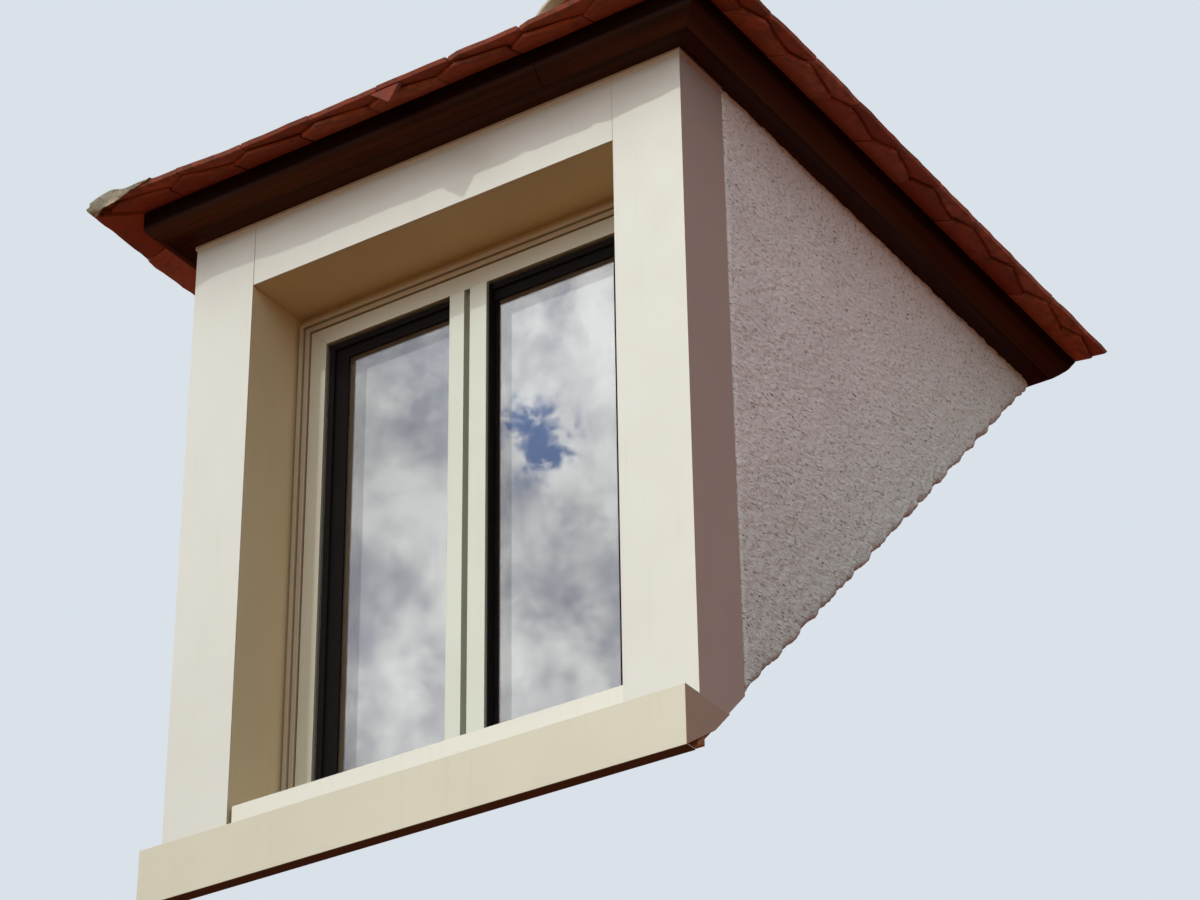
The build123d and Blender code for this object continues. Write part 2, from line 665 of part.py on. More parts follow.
glass_x0, glass_x1 = 31.0, 353.0
glass_z0, glass_z1 = sash_z0 + 13, sash_z1 - 13
with BuildPart() as right_glass:
    with BuildSketch(Plane.XZ.offset(-glass_y0)):
        with Locations(((glass_x0 + glass_x1) / 2, (glass_z0 + glass_z1) / 2)):
            Rectangle(glass_x1 - glass_x0, glass_z1 - glass_z0)
    extrude(amount=-(glass_y1 - glass_y0))
right_glass.part.label = "right_glass"
export_step(right_glass.part, "parts/right_glass.step")

with BuildPart() as left_glass:
    mirror(right_glass.part, about=Plane.YZ)
left_glass.part.label = "left_glass"
export_step(left_glass.part, "parts/left_glass.step")

# black glazing gaskets on the outer face of both panes: a flat border with a raised lip
with BuildPart() as glazing_gaskets:
    for side in (-1, 1):
        with BuildSketch(Plane.XZ.offset(-141)):
            with Locations((side * (38.3 + 353) / 2, (glass_z0 + glass_z1) / 2)):
                Rectangle(353 - 38.3, glass_z1 - glass_z0)
            with Locations((side * (41.5 + 355 - gasket_w) / 2, frame_zc)):
                Rectangle(355 - gasket_w - 41.5, frame_h - 2 * flange - 2 * gasket_w,
                          mode=Mode.SUBTRACT)
        extrude(amount=-(glass_y0 - 0.2 - 141))
        with BuildSketch(Plane.XZ.offset(-(glass_y0 - 2.2))):
            with Locations((side * (38.3 + 353) / 2, (glass_z0 + glass_z1) / 2)):
                Rectangle(353 - 38.3, glass_z1 - glass_z0)
            with Locations((side * (41.5 + gasket_in) / 2, frame_zc)):
                Rectangle(gasket_in - 41.5, 2 * (gasket_top - frame_zc), mode=Mode.SUBTRACT)
        extrude(amount=-2)
    with BuildSketch(Plane.XZ.offset(-133)):
        with Locations(((38.3 + 41.5) / 2, frame_zc)):
            Rectangle(41.5 - 38.3, strip_h - 4)
    extrude(amount=-(glass_y0 - 0.2 - 133))
glazing_gaskets.part.label = "glazing_gaskets"
export_step(glazing_gaskets.part, "parts/glazing_gaskets.step")

# handle on the room side of the right leaf
with BuildPart() as window_handle:
    with BuildSketch(Plane.XZ.offset(-sash_y1)):
        with Locations((30, 690)):
            RectangleRounded(30, 130, 8)
    extrude(amount=-8)
    with BuildSketch(Plane.XZ.offset(-(sash_y1 + 8))):
        with Locations((30, 690)):
            Circle(9)
    extrude(amount=-32)
    with BuildSketch(Plane.XZ.offset(-(sash_y1 + 34))):
        with Locations((30, 640)):
            SlotOverall(122, 20, rotation=90)
    extrude(amount=-14)
window_handle.part.label = "window_handle"
export_step(window_handle.part, "parts/window_handle.step")
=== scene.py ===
import math

import bmesh
import bpy
import numpy as np
from mathutils import Matrix, Vector

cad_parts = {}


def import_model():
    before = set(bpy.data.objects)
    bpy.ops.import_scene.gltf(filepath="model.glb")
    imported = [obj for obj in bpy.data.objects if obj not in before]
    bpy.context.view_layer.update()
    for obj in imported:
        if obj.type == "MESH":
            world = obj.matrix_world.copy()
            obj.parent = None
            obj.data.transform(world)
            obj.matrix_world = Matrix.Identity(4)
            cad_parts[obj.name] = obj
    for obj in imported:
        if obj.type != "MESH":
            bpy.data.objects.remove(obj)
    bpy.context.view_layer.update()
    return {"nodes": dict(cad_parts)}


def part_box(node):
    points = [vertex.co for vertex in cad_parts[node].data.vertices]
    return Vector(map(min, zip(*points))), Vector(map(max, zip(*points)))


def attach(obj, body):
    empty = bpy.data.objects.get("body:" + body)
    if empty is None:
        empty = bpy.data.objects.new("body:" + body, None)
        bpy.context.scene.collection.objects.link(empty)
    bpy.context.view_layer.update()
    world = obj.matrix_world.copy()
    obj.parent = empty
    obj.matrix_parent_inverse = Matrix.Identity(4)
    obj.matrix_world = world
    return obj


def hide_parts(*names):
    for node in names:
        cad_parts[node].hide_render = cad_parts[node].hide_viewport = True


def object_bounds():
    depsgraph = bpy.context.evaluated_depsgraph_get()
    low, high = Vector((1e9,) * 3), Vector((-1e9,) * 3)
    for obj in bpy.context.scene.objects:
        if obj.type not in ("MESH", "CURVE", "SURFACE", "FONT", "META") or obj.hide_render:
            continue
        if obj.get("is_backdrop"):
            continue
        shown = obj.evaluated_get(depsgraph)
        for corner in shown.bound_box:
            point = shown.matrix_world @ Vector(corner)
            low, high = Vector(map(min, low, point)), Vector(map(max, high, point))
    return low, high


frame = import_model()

scene = bpy.context.scene
nodes = frame["nodes"]
ROOT2 = math.sqrt(2.0)

# ---------------------------------------------------------------- sizes, in metres
HALF = 0.575            # outer face of the pilasters
FRONT = -0.018          # front face of the pilasters
OVER = 0.163            # eave edge beyond the wall face
EAVE_UNDER, EAVE_TOP = 1.456, 1.478
KINK_OVER, KINK_TOP = 0.015, 1.5394
KINK_UNDER = 1.512
APEX_Y = 0.557
APEX_UNDER, APEX_TOP = 2.087, 2.1294
TILE_W, TILE_T, GAUGE = 0.165, 0.011, 0.100

# ================================================================ camera
yaw, pitch, roll = math.radians(33.00), math.radians(31.05), math.radians(-0.87)
fwd = Vector((-math.sin(yaw) * math.cos(pitch), math.cos(yaw) * math.cos(pitch), math.sin(pitch)))
right = Vector((math.cos(yaw), math.sin(yaw), 0.0))
up = right.cross(fwd)
cam_x = right * math.cos(roll) + up * math.sin(roll)
cam_y = up * math.cos(roll) - right * math.sin(roll)
cam_data = bpy.data.cameras.new("camera")
cam_data.lens = 98.85
cam_data.sensor_width = 36.0
cam_data.clip_start, cam_data.clip_end = 0.1, 400.0
cam = bpy.data.objects.new("camera", cam_data)
scene.collection.objects.link(cam)
basis = Matrix((cam_x, cam_y, -fwd)).transposed().to_4x4()
basis.translation = Vector((3.0901, -4.181, -2.381))
cam.matrix_world = basis
scene.camera = cam


# ================================================================ noise on points
def lattice(i, j, k, seed):
    with np.errstate(over="ignore"):
        n = (i.astype(np.uint32) * np.uint32(73856093)) ^ (j.astype(np.uint32) * np.uint32(19349663)) \
            ^ (k.astype(np.uint32) * np.uint32(83492791)) ^ np.uint32((seed * 2654435761) & 0xFFFFFFFF)
        n = (n ^ (n >> np.uint32(13))) * np.uint32(1274126177)
        n = (n ^ (n >> np.uint32(16))) * np.uint32(2246822519)
        n = n ^ (n >> np.uint32(15))
    return n.astype(np.float64) / 4294967295.0


def value_noise(p, size, seed=0):
    """Smooth noise from -1 to 1 on points p of shape (N, 3); size is a feature's size."""
    q = np.asarray(p, float) / np.asarray(size, float) + 1000.0
    i = np.floor(q).astype(np.int64)
    f = q - i
    f = f * f * (3 - 2 * f)
    out = np.zeros(len(q))
    for dx in (0, 1):
        for dy in (0, 1):
            for dz in (0, 1):
                w = np.abs(1 - dx - f[:, 0]) * np.abs(1 - dy - f[:, 1]) * np.abs(1 - dz - f[:, 2])
                out += w * lattice(i[:, 0] + dx, i[:, 1] + dy, i[:, 2] + dz, seed)
    return out * 2 - 1


def octaves(p, size, seed=0, n=3, gain=0.5):
    total, amp = np.zeros(len(p)), 1.0
    for o in range(n):
        total += amp * value_noise(p, size / 2 ** o, seed + 17 * o)
        amp *= gain
    return total


def cells(p, size, seed=0, stretch=(1, 1, 1)):
    """Distance to the nearest scattered point, in units of size, and that point's own random number."""
    q = np.asarray(p, float) / (size * np.asarray(stretch, float)) + 1000.0
    i = np.floor(q).astype(np.int64)
    best, own = np.full(len(q), 9.0), np.zeros(len(q))
    for dx in (-1, 0, 1):
        for dy in (-1, 0, 1):
            for dz in (-1, 0, 1):
                a, b, c = i[:, 0] + dx, i[:, 1] + dy, i[:, 2] + dz
                d = np.sqrt((a + lattice(a, b, c, seed) - q[:, 0]) ** 2
                            + (b + lattice(a, b, c, seed + 1) - q[:, 1]) ** 2
                            + (c + lattice(a, b, c, seed + 2) - q[:, 2]) ** 2)
                near = d < best
                best = np.where(near, d, best)
                own = np.where(near, lattice(a, b, c, seed + 3), own)
    return best, own


# ================================================================ materials
class Finish:
    """A material with a Principled shader, built from nodes."""

    def __init__(self, name, color=(0.8, 0.8, 0.8), roughness=0.5):
        self.mat = bpy.data.materials.new(name)
        self.mat.use_nodes = True
        self.tree = self.mat.node_tree
        self.shader = next(n for n in self.tree.nodes if n.type == "BSDF_PRINCIPLED")
        self.shader.inputs["Base Color"].default_value = (*color, 1)
        self.shader.inputs["Roughness"].default_value = roughness
        self.coord = self.tree.nodes.new("ShaderNodeTexCoord").outputs["Object"]
        self.bump = None

    def node(self, kind, **values):
        n = self.tree.nodes.new(kind)
        for k, v in values.items():
            if hasattr(n, k):
                setattr(n, k, v)
            else:
                self.put(n.inputs[k.replace("_", " ")], v)
        return n

    def put(self, socket, v):
        if isinstance(v, bpy.types.NodeSocket):
            self.tree.links.new(v, socket)
        elif isinstance(v, (tuple, list)) and len(v) == 3 and socket.type == "RGBA":
            socket.default_value = (*v, 1)
        else:
            socket.default_value = v

    def place(self, size=(1, 1, 1), turn=(0, 0, 0), at=(0, 0, 0)):
        """Coordinates turned and divided by size."""
        n = self.tree.nodes.new("ShaderNodeMapping")
        n.vector_type = "TEXTURE"
        n.inputs["Rotation"].default_value = turn
        n.inputs["Scale"].default_value = size
        n.inputs["Location"].default_value = at
        self.tree.links.new(self.coord, n.inputs["Vector"])
        return n.outputs["Vector"]

    def noise(self, vector, scale=1.0, detail=4.0, rough=0.55, distortion=0.0):
        n = self.tree.nodes.new("ShaderNodeTexNoise")
        self.put(n.inputs["Vector"], vector)
        n.inputs["Scale"].default_value = scale
        n.inputs["Detail"].default_value = detail
        n.inputs["Roughness"].default_value = rough
        n.inputs["Distortion"].default_value = distortion
        return n.outputs["Fac"]

    def voronoi(self, vector, scale=1.0, feature="F1", out="Distance", randomness=1.0):
        n = self.tree.nodes.new("ShaderNodeTexVoronoi")
        n.feature = feature
        self.put(n.inputs["Vector"], vector)
        n.inputs["Scale"].default_value = scale
        n.inputs["Randomness"].default_value = randomness
        return n.outputs[out]

    def ramp(self, fac, *stops, kind="LINEAR"):
        """stops are (place, colour or grey)."""
        n = self.tree.nodes.new("ShaderNodeValToRGB")
        n.color_ramp.interpolation = kind
        while len(n.color_ramp.elements) < len(stops):
            n.color_ramp.elements.new(0.5)
        for e, (at, c) in zip(n.color_ramp.elements, stops):
            e.position = at
            e.color = (*c, 1) if isinstance(c, (tuple, list)) else (c, c, c, 1)
        self.put(n.inputs["Fac"], fac)
        return n.outputs["Color"]

    def mix(self, fac, a, b, kind="MIX"):
        n = self.tree.nodes.new("ShaderNodeMix")
        n.data_type = "RGBA"
        n.blend_type = kind
        self.put(n.inputs[0], fac)
        self.put(n.inputs[6], a)
        self.put(n.inputs[7], b)
        return n.outputs[2]

    def math(self, kind, a, b=0.5, c=None):
        n = self.tree.nodes.new("ShaderNodeMath")
        n.operation = kind
        self.put(n.inputs[0], a)
        self.put(n.inputs[1], b)
        if c is not None:
            self.put(n.inputs[2], c)
        return n.outputs[0]

    def span(self, value, a, b, lo=0.0, hi=1.0):
        n = self.tree.nodes.new("ShaderNodeMapRange")
        self.put(n.inputs["Value"], value)
        for k, v in zip(("From Min", "From Max", "To Min", "To Max"), (a, b, lo, hi)):
            n.inputs[k].default_value = v
        return n.outputs["Result"]

    def axis(self, which, vector=None):
        n = self.tree.nodes.new("ShaderNodeSeparateXYZ")
        self.put(n.inputs[0], vector if vector is not None else self.coord)
        return n.outputs[which]

    def attribute(self, name, out="Color"):
        n = self.tree.nodes.new("ShaderNodeAttribute")
        n.attribute_name = name
        return n.outputs[out]

    def relief(self, height, depth, strength=1.0):
        """Adds bump: height from 0 to 1 is depth metres."""
        n = self.tree.nodes.new("ShaderNodeBump")
        n.inputs["Strength"].default_value = strength
        n.inputs["Distance"].default_value = depth
        self.put(n.inputs["Height"], height)
        if self.bump is not None:
            self.put(n.inputs["Normal"], self.bump)
        self.bump = n.outputs["Normal"]
        self.put(self.shader.inputs["Normal"], self.bump)

    def color(self, v):
        self.put(self.shader.inputs["Base Color"], v)

    def rough(self, v):
        self.put(self.shader.inputs["Roughness"], v)

    def set(self, **values):
        for k, v in values.items():
            self.shader.inputs[k.replace("_", " ")].default_value = v


def turned(direction):
    return tuple(Vector(direction).to_track_quat("X", "Z").to_euler())


def cream(name, base, shade, rough=0.52, metal=0.72, sole=None):
    """Satin lacquer on folded aluminium: faint orange peel, slow waviness, dust and rain marks."""
    f = Finish(name, base, rough)
    slow = f.noise(f.place((0.35, 0.35, 0.55)), 1.0, 3)
    rain = f.noise(f.place((0.018, 0.018, 0.5)), 1.0, 4, 0.6)
    dust = f.noise(f.coord, 55.0, 5, 0.65)
    c = f.mix(f.span(slow, 0.35, 0.65), shade, base)
    c = f.mix(f.span(rain, 0.56, 0.80, 0.0, 0.22), c, tuple(x * 0.80 for x in shade))
    c = f.mix(f.span(dust, 0.60, 0.85, 0.0, 0.20), c, tuple(x * 0.72 for x in shade))
    if sole:
        # painted shade: the underside of the fold goes dark, as a shadow line
        c = f.mix(f.span(f.axis(2), sole, sole + 0.0006, 0.9, 0.0), c, (0.10, 0.085, 0.070))
    f.color(c)
    f.rough(f.span(f.noise(f.coord, 14.0, 4), 0.3, 0.7, rough - 0.012, rough + 0.016))
    f.set(Metallic=metal)
    f.relief(f.noise(f.place((0.16, 0.16, 0.34)), 1.0, 2), 0.0010, 0.10)
    f.relief(f.noise(f.coord, 620.0, 2), 0.00008, 0.5)
    return f.mat


def around_corner(f):
    """Coordinates that turn with the cornice at its two mitres, so that x always runs along it."""
    x, y, z = f.axis(0), f.axis(1), f.axis(2)
    in_front = f.math("SUBTRACT", -0.018, y)
    beside = f.math("SUBTRACT", f.math("ABSOLUTE", x), 0.575)
    swap = f.tree.nodes.new("ShaderNodeCombineXYZ")
    for k, v in enumerate((y, x, z)):
        f.put(swap.inputs[k], v)
    n = f.tree.nodes.new("ShaderNodeMix")
    n.data_type = "VECTOR"
    f.side_run = f.math("GREATER_THAN", beside, in_front)
    f.put(n.inputs[0], f.side_run)
    f.put(n.inputs[4], f.coord)
    f.put(n.inputs[5], swap.outputs[0])
    return n.outputs[1]


def timber(name, direction, dark, light, rough=0.6, grain=0.0011, knots=0.0, satin=False, seed=0.0, corner=False):
    """Sawn wood whose fibres run along direction."""
    f = Finish(name, light, rough)
    if corner:
        f.coord = around_corner(f)
    turn = turned(direction)
    rings = f.noise(f.place((0.9, 0.020, 0.020), turn, (seed, seed, 0)), 1.0, 5, 0.6, 0.35)
    fibre = f.noise(f.place((0.12, 0.0016, 0.0016), turn), 1.0, 4, 0.7)
    patch = f.noise(f.place((0.5, 0.12, 0.12), turn, (0, seed, seed)), 1.0, 3)
    c = f.mix(f.span(rings, 0.34, 0.66), dark, light)
    c = f.mix(f.span(fibre, 0.35, 0.75, 0.0, 0.40), c, tuple(x * 0.55 for x in dark))
    c = f.mix(f.span(patch, 0.40, 0.75, 0.0, 0.45), c, tuple(x * 0.72 for x in light))
    if knots:
        spot = f.voronoi(f.place((0.62, 0.16, 0.16), turn, (0.3 + seed, 0.2, 0.1)), 1.0)
        c = f.mix(f.span(spot, 0.05, 0.13, knots, 0.0), c, tuple(x * 0.30 for x in dark))
    if corner:
        # one butt joint in the front run; painted light: a lighter strip along the lower edge; painted shade: the
        # fillet under the tiles goes near black
        lit = f.math("MULTIPLY", f.span(f.axis(2), 1.4165, 1.432, 1.0, 0.25), f.span(patch, 0.35, 0.62, 0.35, 1.0))
        c = f.mix(f.math("MULTIPLY", lit, 0.70), c, (0.082, 0.030, 0.014))
        wander = f.math("MULTIPLY", f.math("SUBTRACT", f.noise(f.coord, 60.0, 2), 0.5), 0.004)
        off = f.math("ABSOLUTE", f.math("ADD", f.math("SUBTRACT", f.axis(0), 0.302), wander))
        joint = f.math("MULTIPLY", f.span(off, 0.0007, 0.0022, 0.85, 0.0), f.math("SUBTRACT", 1.0, f.side_run))
        c = f.mix(joint, c, (0.002, 0.001, 0.001))
        # painted shade in the fillet under the tiles
        c = f.mix(f.span(f.axis(2), 1.438, 1.452, 0.0, 0.85), c, (0.003, 0.0010, 0.0008))
    f.color(c)
    f.rough(f.span(fibre, 0.3, 0.7, rough - 0.08, rough + 0.10))
    f.relief(rings, grain * 0.8, 0.5)
    f.relief(fibre, grain * 0.5, 0.7)
    if satin:
        f.set(Specular_IOR_Level=0.10)
    return f.mat


def clay(name, under=False):
    """Fired clay. The attribute tile holds two random numbers of each tile and the way up it from its tail."""
    f = Finish(name, (0.45, 0.14, 0.07), 0.82)
    split = f.tree.nodes.new("ShaderNodeSeparateColor")
    f.put(split.inputs[0], f.attribute("tile"))
    one, two, way = split.outputs[0], split.outputs[1], split.outputs[2]
    c = f.ramp(one, (0.0, (0.330, 0.075, 0.034)), (0.30, (0.430, 0.112, 0.050)),
               (0.65, (0.500, 0.150, 0.070)), (1.0, (0.560, 0.205, 0.105)))
    cloud = f.noise(f.coord, 22.0, 5, 0.65)
    c = f.mix(f.span(cloud, 0.38, 0.70, 0.0, 0.55), c, (0.350, 0.082, 0.036))
    sand = f.noise(f.coord, 900.0, 3, 0.7)
    c = f.mix(f.span(sand, 0.55, 0.85, 0.0, 0.35), c, (0.62, 0.30, 0.17))
    specks = f.voronoi(f.coord, 170.0)
    c = f.mix(f.span(specks, 0.06, 0.16, 0.55, 0.0), c, (0.12, 0.035, 0.022))
    # tails and edges are darker and a little grown over
    moss = f.noise(f.coord, 60.0, 6, 0.7)
    tail = f.math("MULTIPLY", f.span(way, 0.0, 0.16, 1.0, 0.0), f.span(moss, 0.42, 0.66))
    c = f.mix(f.math("MULTIPLY", tail, 0.55), c, (0.16, 0.105, 0.062))
    pale = f.math("MULTIPLY", f.span(f.noise(f.coord, 9.0, 5, 0.7), 0.58, 0.74), f.span(two, 0.4, 1.0))
    c = f.mix(f.math("MULTIPLY", pale, 0.28), c, (0.62, 0.42, 0.30))
    grime = f.noise(f.place((1, 1, 1), (0, 0, 0), (0.7, 0.1, 0.4)), 34.0, 6, 0.72)
    c = f.mix(f.math("MULTIPLY", f.span(way, 0.0, 0.55, 0.8, 0.0), f.span(grime, 0.46, 0.66)), c, (0.135, 0.080, 0.050))
    c = f.mix(1.0, c, (0.84, 0.80, 1.0), "MULTIPLY")
    f.color(c)
    f.rough(f.span(cloud, 0.3, 0.7, 0.78, 0.95))
    f.set(Specular_IOR_Level=0.22)
    f.relief(f.noise(f.place((0.05, 0.05, 0.012)), 1.0, 4, 0.6), 0.0012, 0.5)
    f.relief(sand, 0.0005, 0.8)
    f.relief(specks, 0.0007, 0.35)
    return f.mat


def lime(name, base=(0.60, 0.53, 0.40), lichen=True):
    """Trowelled mortar, clean and cream along the top, grey and grown over at the eave."""
    f = Finish(name, base, 0.9)
    sand = f.noise(f.coord, 700.0, 4, 0.7)
    cloud = f.noise(f.coord, 26.0, 5, 0.65)
    c = f.mix(f.span(cloud, 0.35, 0.70), tuple(x * 0.82 for x in base), tuple(min(1, x * 1.12) for x in base))
    c = f.mix(f.span(sand, 0.55, 0.80, 0.0, 0.5), c, tuple(x * 0.62 for x in base))
    if lichen:
        low = f.span(f.axis(2), 1.44, 1.66, 1.0, 0.12)
        growth = f.noise(f.coord, 42.0, 6, 0.72)
        mask = f.math("MULTIPLY", low, f.span(growth, 0.30, 0.50))
        c = f.mix(f.math("MULTIPLY", mask, 0.88), c, (0.150, 0.150, 0.105))
        spot = f.voronoi(f.coord, 95.0)
        dark = f.math("MULTIPLY", low, f.span(spot, 0.16, 0.30, 0.85, 0.0))
        c = f.mix(dark, c, (0.050, 0.045, 0.030))
        gold = f.math("MULTIPLY", low, f.span(f.noise(f.coord, 120.0, 3), 0.60, 0.70, 0.0, 0.5))
        c = f.mix(gold, c, (0.34, 0.30, 0.16))
    f.color(c)
    f.relief(cloud, 0.003, 0.6)
    f.relief(sand, 0.0009, 0.9)
    return f.mat


def roughcast_finish():
    """Scraped render: grain torn out of the surface leaves small dark pits, drawn out along the wall."""
    f = Finish("roughcast", (0.76, 0.72, 0.67), 0.95)
    fine = f.noise(f.coord, 480.0, 3, 0.7)
    cloud = f.noise(f.coord, 5.0, 4, 0.6)
    height = f.axis(2)
    c = f.mix(f.span(cloud, 0.35, 0.65), (0.755, 0.720, 0.710), (0.835, 0.805, 0.790))
    # greyer and rougher towards the foot
    grey = f.math("SUBTRACT", height, f.axis(1))
    c = f.mix(f.span(grey, 0.0, 0.50, 0.95, 0.0), c, (0.680, 0.755, 0.720))
    # darker towards the bottom
    c = f.mix(f.span(height, 0.20, 0.80, 0.30, 0.0), c, (0.42, 0.40, 0.39))
    grain = f.noise(f.place((1.0, 2.1, 0.8)), 205.0, 3, 0.60)
    c = f.mix(f.span(grain, 0.30, 0.47, 0.62, 0.0), c, (0.330, 0.305, 0.290))
    c = f.mix(f.span(grain, 0.58, 0.74, 0.0, 0.50), c, (0.930, 0.905, 0.870))
    c = f.mix(f.span(fine, 0.50, 0.80, 0.0, 0.35), c, (0.50, 0.465, 0.435))
    pits = f.voronoi(f.place((1.0, 2.3, 0.75)), 128.0)
    sparse = f.noise(f.coord, 52.0, 3)
    hole = f.math("MULTIPLY", f.span(pits, 0.12, 0.25, 1.0, 0.0), f.span(sparse, 0.43, 0.56))
    c = f.mix(f.math("MULTIPLY", hole, 0.88), c, (0.085, 0.075, 0.068))
    damp = f.math("MULTIPLY", f.attribute("edge", "Fac"), f.span(f.noise(f.coord, 45.0, 5, 0.7), 0.38, 0.60))
    c = f.mix(f.math("MULTIPLY", damp, 0.45), c, (0.33, 0.355, 0.31))
    f.color(c)
    f.relief(grain, 0.0045, 0.9)
    f.relief(fine, 0.0014, 0.9)
    f.relief(f.span(pits, 0.05, 0.30), 0.0026, 0.8)
    return f.mat


def strand_board():
    """Pressed strand board: flat flakes in all directions."""
    f = Finish("strand_board", (0.52, 0.36, 0.19), 0.6)
    a = f.voronoi(f.place((1, 0.060, 0.016), (0.5, 0, 0)), 1.0, out="Color")
    b = f.voronoi(f.place((1, 0.015, 0.070), (-0.4, 0, 0), (0.1, 0.3, 0.2)), 1.0, out="Color")
    tone = f.math("ADD", f.math("MULTIPLY", f.axis(0, a), 0.5), f.math("MULTIPLY", f.axis(1, b), 0.5))
    c = f.ramp(tone, (0.1, (0.30, 0.175, 0.075)), (0.5, (0.50, 0.335, 0.165)), (0.9, (0.66, 0.49, 0.28)))
    fibre = f.noise(f.place((0.004, 0.05, 0.004), (0.3, 0, 0)), 1.0, 4, 0.7)
    c = f.mix(f.span(fibre, 0.4, 0.8, 0.0, 0.35), c, (0.26, 0.15, 0.07))
    f.color(c)
    f.relief(tone, 0.0012, 0.6)
    f.relief(fibre, 0.0006, 0.6)
    return f.mat


def rubber():
    f = Finish("black_gasket", (0.012, 0.012, 0.013), 0.48)
    n = f.noise(f.coord, 90.0, 4)
    f.color(f.mix(f.span(n, 0.45, 0.8, 0.0, 0.6), (0.005, 0.005, 0.006), (0.016, 0.014, 0.012)))
    f.rough(f.span(n, 0.3, 0.7, 0.60, 0.75))
    f.set(Specular_IOR_Level=0.12)
    f.relief(f.noise(f.coord, 500.0, 2), 0.0001, 0.5)
    return f.mat


def spacer_metal():
    f = Finish("spacer_bar", (0.020, 0.018, 0.017), 0.45)
    n = f.noise(f.coord, 300.0, 3)
    f.color(f.mix(f.span(n, 0.4, 0.7), (0.014, 0.013, 0.012), (0.030, 0.026, 0.023)))
    f.rough(f.span(n, 0.3, 0.7, 0.38, 0.55))
    f.set(Specular_IOR_Level=0.25)
    f.relief(n, 0.0001, 0.4)
    return f.mat


def satin_metal():
    f = Finish("handle_metal", (0.62, 0.62, 0.61), 0.30)
    brushed = f.noise(f.place((0.002, 0.002, 0.05)), 1.0, 4, 0.7)
    f.set(Metallic=1.0)
    f.color(f.mix(f.span(brushed, 0.35, 0.7), (0.55, 0.55, 0.54), (0.68, 0.68, 0.67)))
    f.rough(f.span(brushed, 0.3, 0.7, 0.24, 0.38))
    f.relief(brushed, 0.00008, 0.6)
    return f.mat


def pane_finish(name, tint_or_painted_shade):
    """Float glass: a tint (near black on the inner pane, where it is painted shade for the dark interior behind), a
    trace of dust, and the faint waviness of a large pane.
    """
    f = Finish(name, tint_or_painted_shade, 0.0)
    f.set(Transmission_Weight=1.0, IOR=1.72)
    dust = f.noise(f.coord, 30.0, 5, 0.7)
    f.color(f.mix(f.span(dust, 0.45, 0.75, 0.0, 0.25), tint_or_painted_shade, tuple(x * 0.88 for x in tint_or_painted_shade)))
    f.relief(f.noise(f.place((0.35, 0.35, 0.50)), 1.0, 2), 0.0006, 0.12)
    return f.mat


CREAM = cream("cream_cladding", (0.693, 0.708, 0.645), (0.669, 0.684, 0.619))
# reveal linings: a darker, warmer brown base colour, which is painted warm bounce light and shade
REVEAL_PAINTED_WARM_BOUNCE = cream("reveal_painted_warm_bounce", (0.660, 0.585, 0.370), (0.630, 0.555, 0.345), 0.60, 0.25)
# sole paints shade along the underside of the apron's hem
CREAM_APRON = cream("cream_apron", (0.650, 0.640, 0.515), (0.625, 0.612, 0.488), sole=-0.0402)
CREAM_SILL = cream("cream_sill", (0.755, 0.770, 0.685), (0.730, 0.745, 0.660))
# window trim: a dark tan base colour, which is painted shade for its recess under the head and beside the frame
TRIM_PAINTED_SHADE = cream("trim_painted_shade", (0.470, 0.430, 0.320), (0.430, 0.390, 0.285), 0.50, 0.40)
CREAM_CAP = cream("cream_cap_strip", (0.700, 0.715, 0.650), (0.675, 0.690, 0.625), 0.50, 0.60)
CREAM_WINDOW = cream("cream_window", (0.640, 0.680, 0.590), (0.614, 0.652, 0.560), 0.46, 0.66)
STAIN = ((0.014, 0.0038, 0.0018), (0.050, 0.0140, 0.0060))
STAIN_X = timber("stained_timber_across", (1, 0, 0), *STAIN, 0.50, 0.0009, 0.9, True, 0.3)
STAIN_Y = timber("stained_timber_along", (0, 1, 0), *STAIN, 0.50, 0.0009, 0.9, True, 0.7)
STAIN_CORNICE = timber("stained_timber_cornice", (1, 0, 0), *STAIN, 0.46, 0.0007, 0.9, True, 0.5, True)
PINE = ((0.33, 0.185, 0.080), (0.56, 0.375, 0.200))
WOOD_X = timber("raw_timber_across", (1, 0, 0), *PINE, knots=0.85)
WOOD_Y = timber("raw_timber_along", (0, 1, 0), *PINE, knots=0.85, seed=0.4)
WOOD_Z = timber("raw_timber_upright", (0, 0, 1), *PINE, knots=0.85, seed=0.8)
WOOD_SOLE = timber("raw_timber_sole", (0, 1, 1), *PINE, knots=0.85, seed=1.1)
WOOD_RIGHT = timber("raw_timber_right_slope", (-1, 0, 1), *PINE, knots=0.85, seed=1.5)
WOOD_LEFT = timber("raw_timber_left_slope", (1, 0, 1), *PINE, knots=0.85, seed=1.9)
WOOD_HIP = timber("raw_timber_hips", (0.02, 1, 1), *PINE, knots=0.85, seed=2.3)
BOARD = ((0.31, 0.175, 0.080), (0.53, 0.360, 0.200))
BOARD_X = timber("roof_boards_across", (1, 0, 0), *BOARD, knots=0.9, seed=2.7)
BOARD_Y = timber("roof_boards_along", (0, 1, 0), *BOARD, knots=0.9, seed=3.1)
CLAY = clay("clay_tile")
LIME = lime("lime_mortar")
RENDER = roughcast_finish()
STRAND = strand_board()
GASKET = rubber()
SPACER = spacer_metal()
HANDLE = satin_metal()
PANE_OUT = pane_finish("window_glass_outer", (0.93, 0.95, 0.95))
# inner pane tinted near black: painted shade standing for the dark interior behind the window
PANE_IN_PAINTED_SHADE = pane_finish("window_glass_inner_painted_shade", (0.030, 0.033, 0.036))


# ================================================================ meshes
def finish_mesh(me, mat, smooth=True, angle=38.0):
    me.materials.clear()
    me.materials.append(mat)
    me.validate()
    me.update()
    if smooth:
        me.shade_smooth()
        me.set_sharp_from_angle(angle=math.radians(angle))
    else:
        me.shade_flat()


